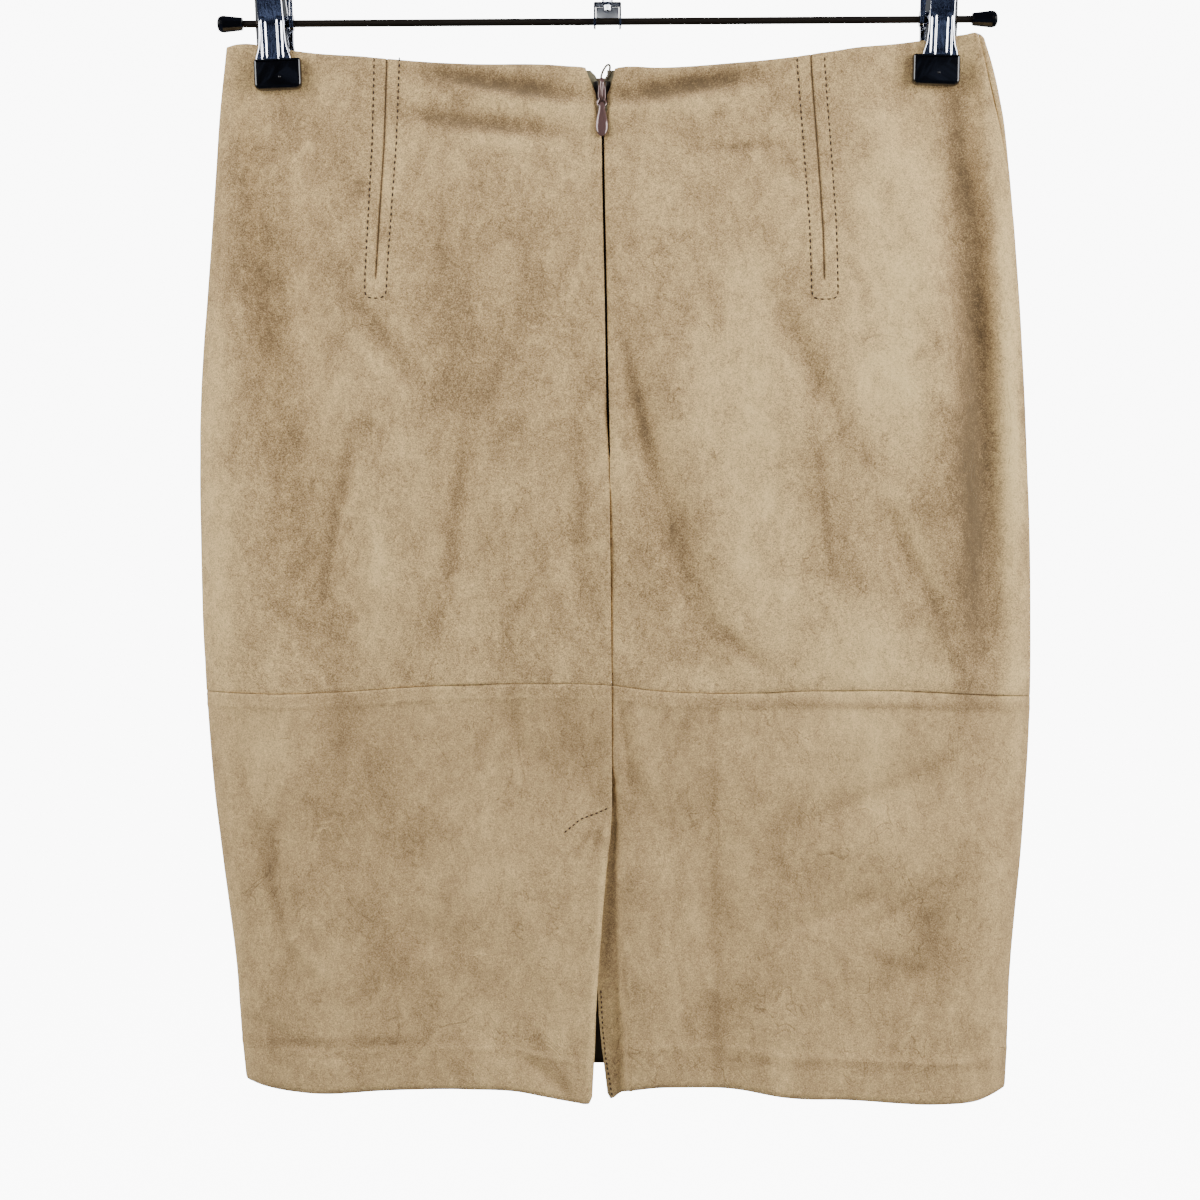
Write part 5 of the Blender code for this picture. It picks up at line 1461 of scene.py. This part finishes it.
# %% Back wall of the bracket
# Bare zinc plating is pale grey and scatters light
ZINC = plain_finish("zinc_plated_sheet", "#f4f6fa", 0.5)
mesh = bmesh.new()
rounded_block(mesh, (12.6, 0.8, 6.6), (0.0, 3.55, HANGER_BAR_Z + 5.4), ((0.2, lambda edge: True),))
piece_of("bracket_back_wall", mesh, ZINC)
print("bracket wall made")

# %% [markdown]
# The bar, its caps, the hook and the bracket are good as the CAD part has them: round wire and bent
# sheet at their real sizes. They only need their finishes.

# %% Finishes of the CAD parts that stay
for name, look in (("hanger_bar", BRONZE), ("bar_cap_left", VINYL), ("bar_cap_right", VINYL),
                   ("hanger_hook", CHROME), ("hanger_bracket", CHROME)):
    NODES[name].data.materials.clear()
    NODES[name].data.materials.append(look)
print("finishes set")

# %% [markdown]
# The photo was taken on a white sweep, a roll of paper that runs from the floor up the wall in one
# curve. It is one plane, with its back edge pulled up and the corner bevelled round. It glows white by
# itself, because a product photographer lights the paper apart from the piece, and it throws no light
# of its own on the skirt.

# %% Stage
# Matt white paper, lit until it shows no grain
PAPER, tree, shader = new_material("white_paper_sweep")
shader.inputs["Base Color"].default_value = linear("#f4f4f4")
shader.inputs["Roughness"].default_value = 1.0
shader.inputs["Emission Color"].default_value = linear("#ffffff")
shader.inputs["Emission Strength"].default_value = 9.0
FLOOR_Z = -0.80
mesh = bmesh.new()
bmesh.ops.create_grid(mesh, x_segments=1, y_segments=1, size=3.0)
bmesh.ops.translate(mesh, vec=(0, -0.5, FLOOR_Z), verts=mesh.verts)
back_edges = [edge for edge in mesh.edges if all(vert.co.y > 2.4 for vert in edge.verts)]
risen = bmesh.ops.extrude_edge_only(mesh, edges=back_edges)
bmesh.ops.translate(mesh, vec=(0, 0, 4.5),
                    verts=[item for item in risen["geom"] if isinstance(item, bmesh.types.BMVert)])
corner = [edge for edge in mesh.edges if len(edge.link_faces) == 2]
bmesh.ops.bevel(mesh, geom=corner, offset=0.8, affect="EDGES", segments=12, profile=0.5, material=-1)
bmesh.ops.recalc_face_normals(mesh, faces=mesh.faces[:])
sweep = object_from("paper_sweep", mesh, PAPER)
sweep.data.shade_smooth()
sweep.visible_diffuse = False
sweep.visible_glossy = False
print("floor at", FLOOR_Z, "m")

# %% [markdown]
# Chrome shows what stands round it. The photographer's room was dark between the lamps, so we stand
# dark walls round the set that only shiny things can see.

# %% Dark room for the reflections
# Blurred shapes of grey blue stand for the things in a room
ROOM, tree, shader = new_material("dark_room_wall")
place = add(tree, "ShaderNodeTexCoord").outputs["Object"]
stretched = add(tree, "ShaderNodeMapping", Vector=place, Scale=(1.0, 1.0, 0.25))
things = add(tree, "ShaderNodeTexNoise", Vector=stretched.outputs["Vector"], Scale=9.0,
             Detail=6.0, Roughness=0.7)
glow = add(tree, "ShaderNodeValToRGB", i0=things.outputs["Fac"])
glow.color_ramp.elements[0].position = 0.50
glow.color_ramp.elements[0].color = linear("#0a0c18")
glow.color_ramp.elements[1].position = 0.66
glow.color_ramp.elements[1].color = linear("#8494bd")
tree.links.new(glow.outputs["Color"], shader.inputs["Emission Color"])
shader.inputs["Base Color"].default_value = linear("#000000")
shader.inputs["Emission Strength"].default_value = 1.0
shader.inputs["Specular IOR Level"].default_value = 0.0
mesh = bmesh.new()
bmesh.ops.create_cube(mesh, size=1.0)
bmesh.ops.scale(mesh, vec=(5.0, 3.6, 3.0), verts=mesh.verts)
bmesh.ops.translate(mesh, vec=(0, -0.9, 0.0), verts=mesh.verts)
bmesh.ops.delete(mesh, geom=[face for face in mesh.faces if face.normal.y > 0.5], context="FACES")
dark_room = object_from("dark_room", mesh, ROOM)
dark_room.visible_camera = False
dark_room.visible_diffuse = False
dark_room.visible_shadow = False
dark_room.visible_transmission = False
print("room walls:", len(dark_room.data.polygons))

# %% [markdown]
# Two large softboxes light the skirt evenly from both sides, with the left one higher and the right
# one a little stronger, which gives the folds their soft shadows. A third light behind keeps the far
# side from going black.

# %% Light


def softbox(name, place, aim, width, height, power):
    lamp = bpy.data.lights.new(name, "AREA")
    lamp.shape = "RECTANGLE"
    lamp.size, lamp.size_y, lamp.energy = width, height, power
    made = bpy.data.objects.new(name, lamp)
    made.location = place
    made.rotation_euler = (Vector(aim) - Vector(place)).to_track_quat("-Z", "Y").to_euler()
    bpy.context.collection.objects.link(made)


softbox("softbox_left", (-1.45, -0.80, 0.35), (0, 0, -0.31), 1.1, 1.4, 43)
softbox("softbox_right", (1.50, -0.80, 0.10), (0, 0, -0.31), 1.1, 1.4, 46)
softbox("fill_behind", (0.4, 1.8, 0.6), (0, 0, -0.38), 1.4, 1.4, 20)
world = bpy.data.worlds.new("room")
bpy.context.scene.world = world
world.use_nodes = True
world.node_tree.nodes["Background"].inputs["Color"].default_value = linear("#f2f4f6")
world.node_tree.nodes["Background"].inputs["Strength"].default_value = 0.16
print("lights:", len(bpy.data.lights))
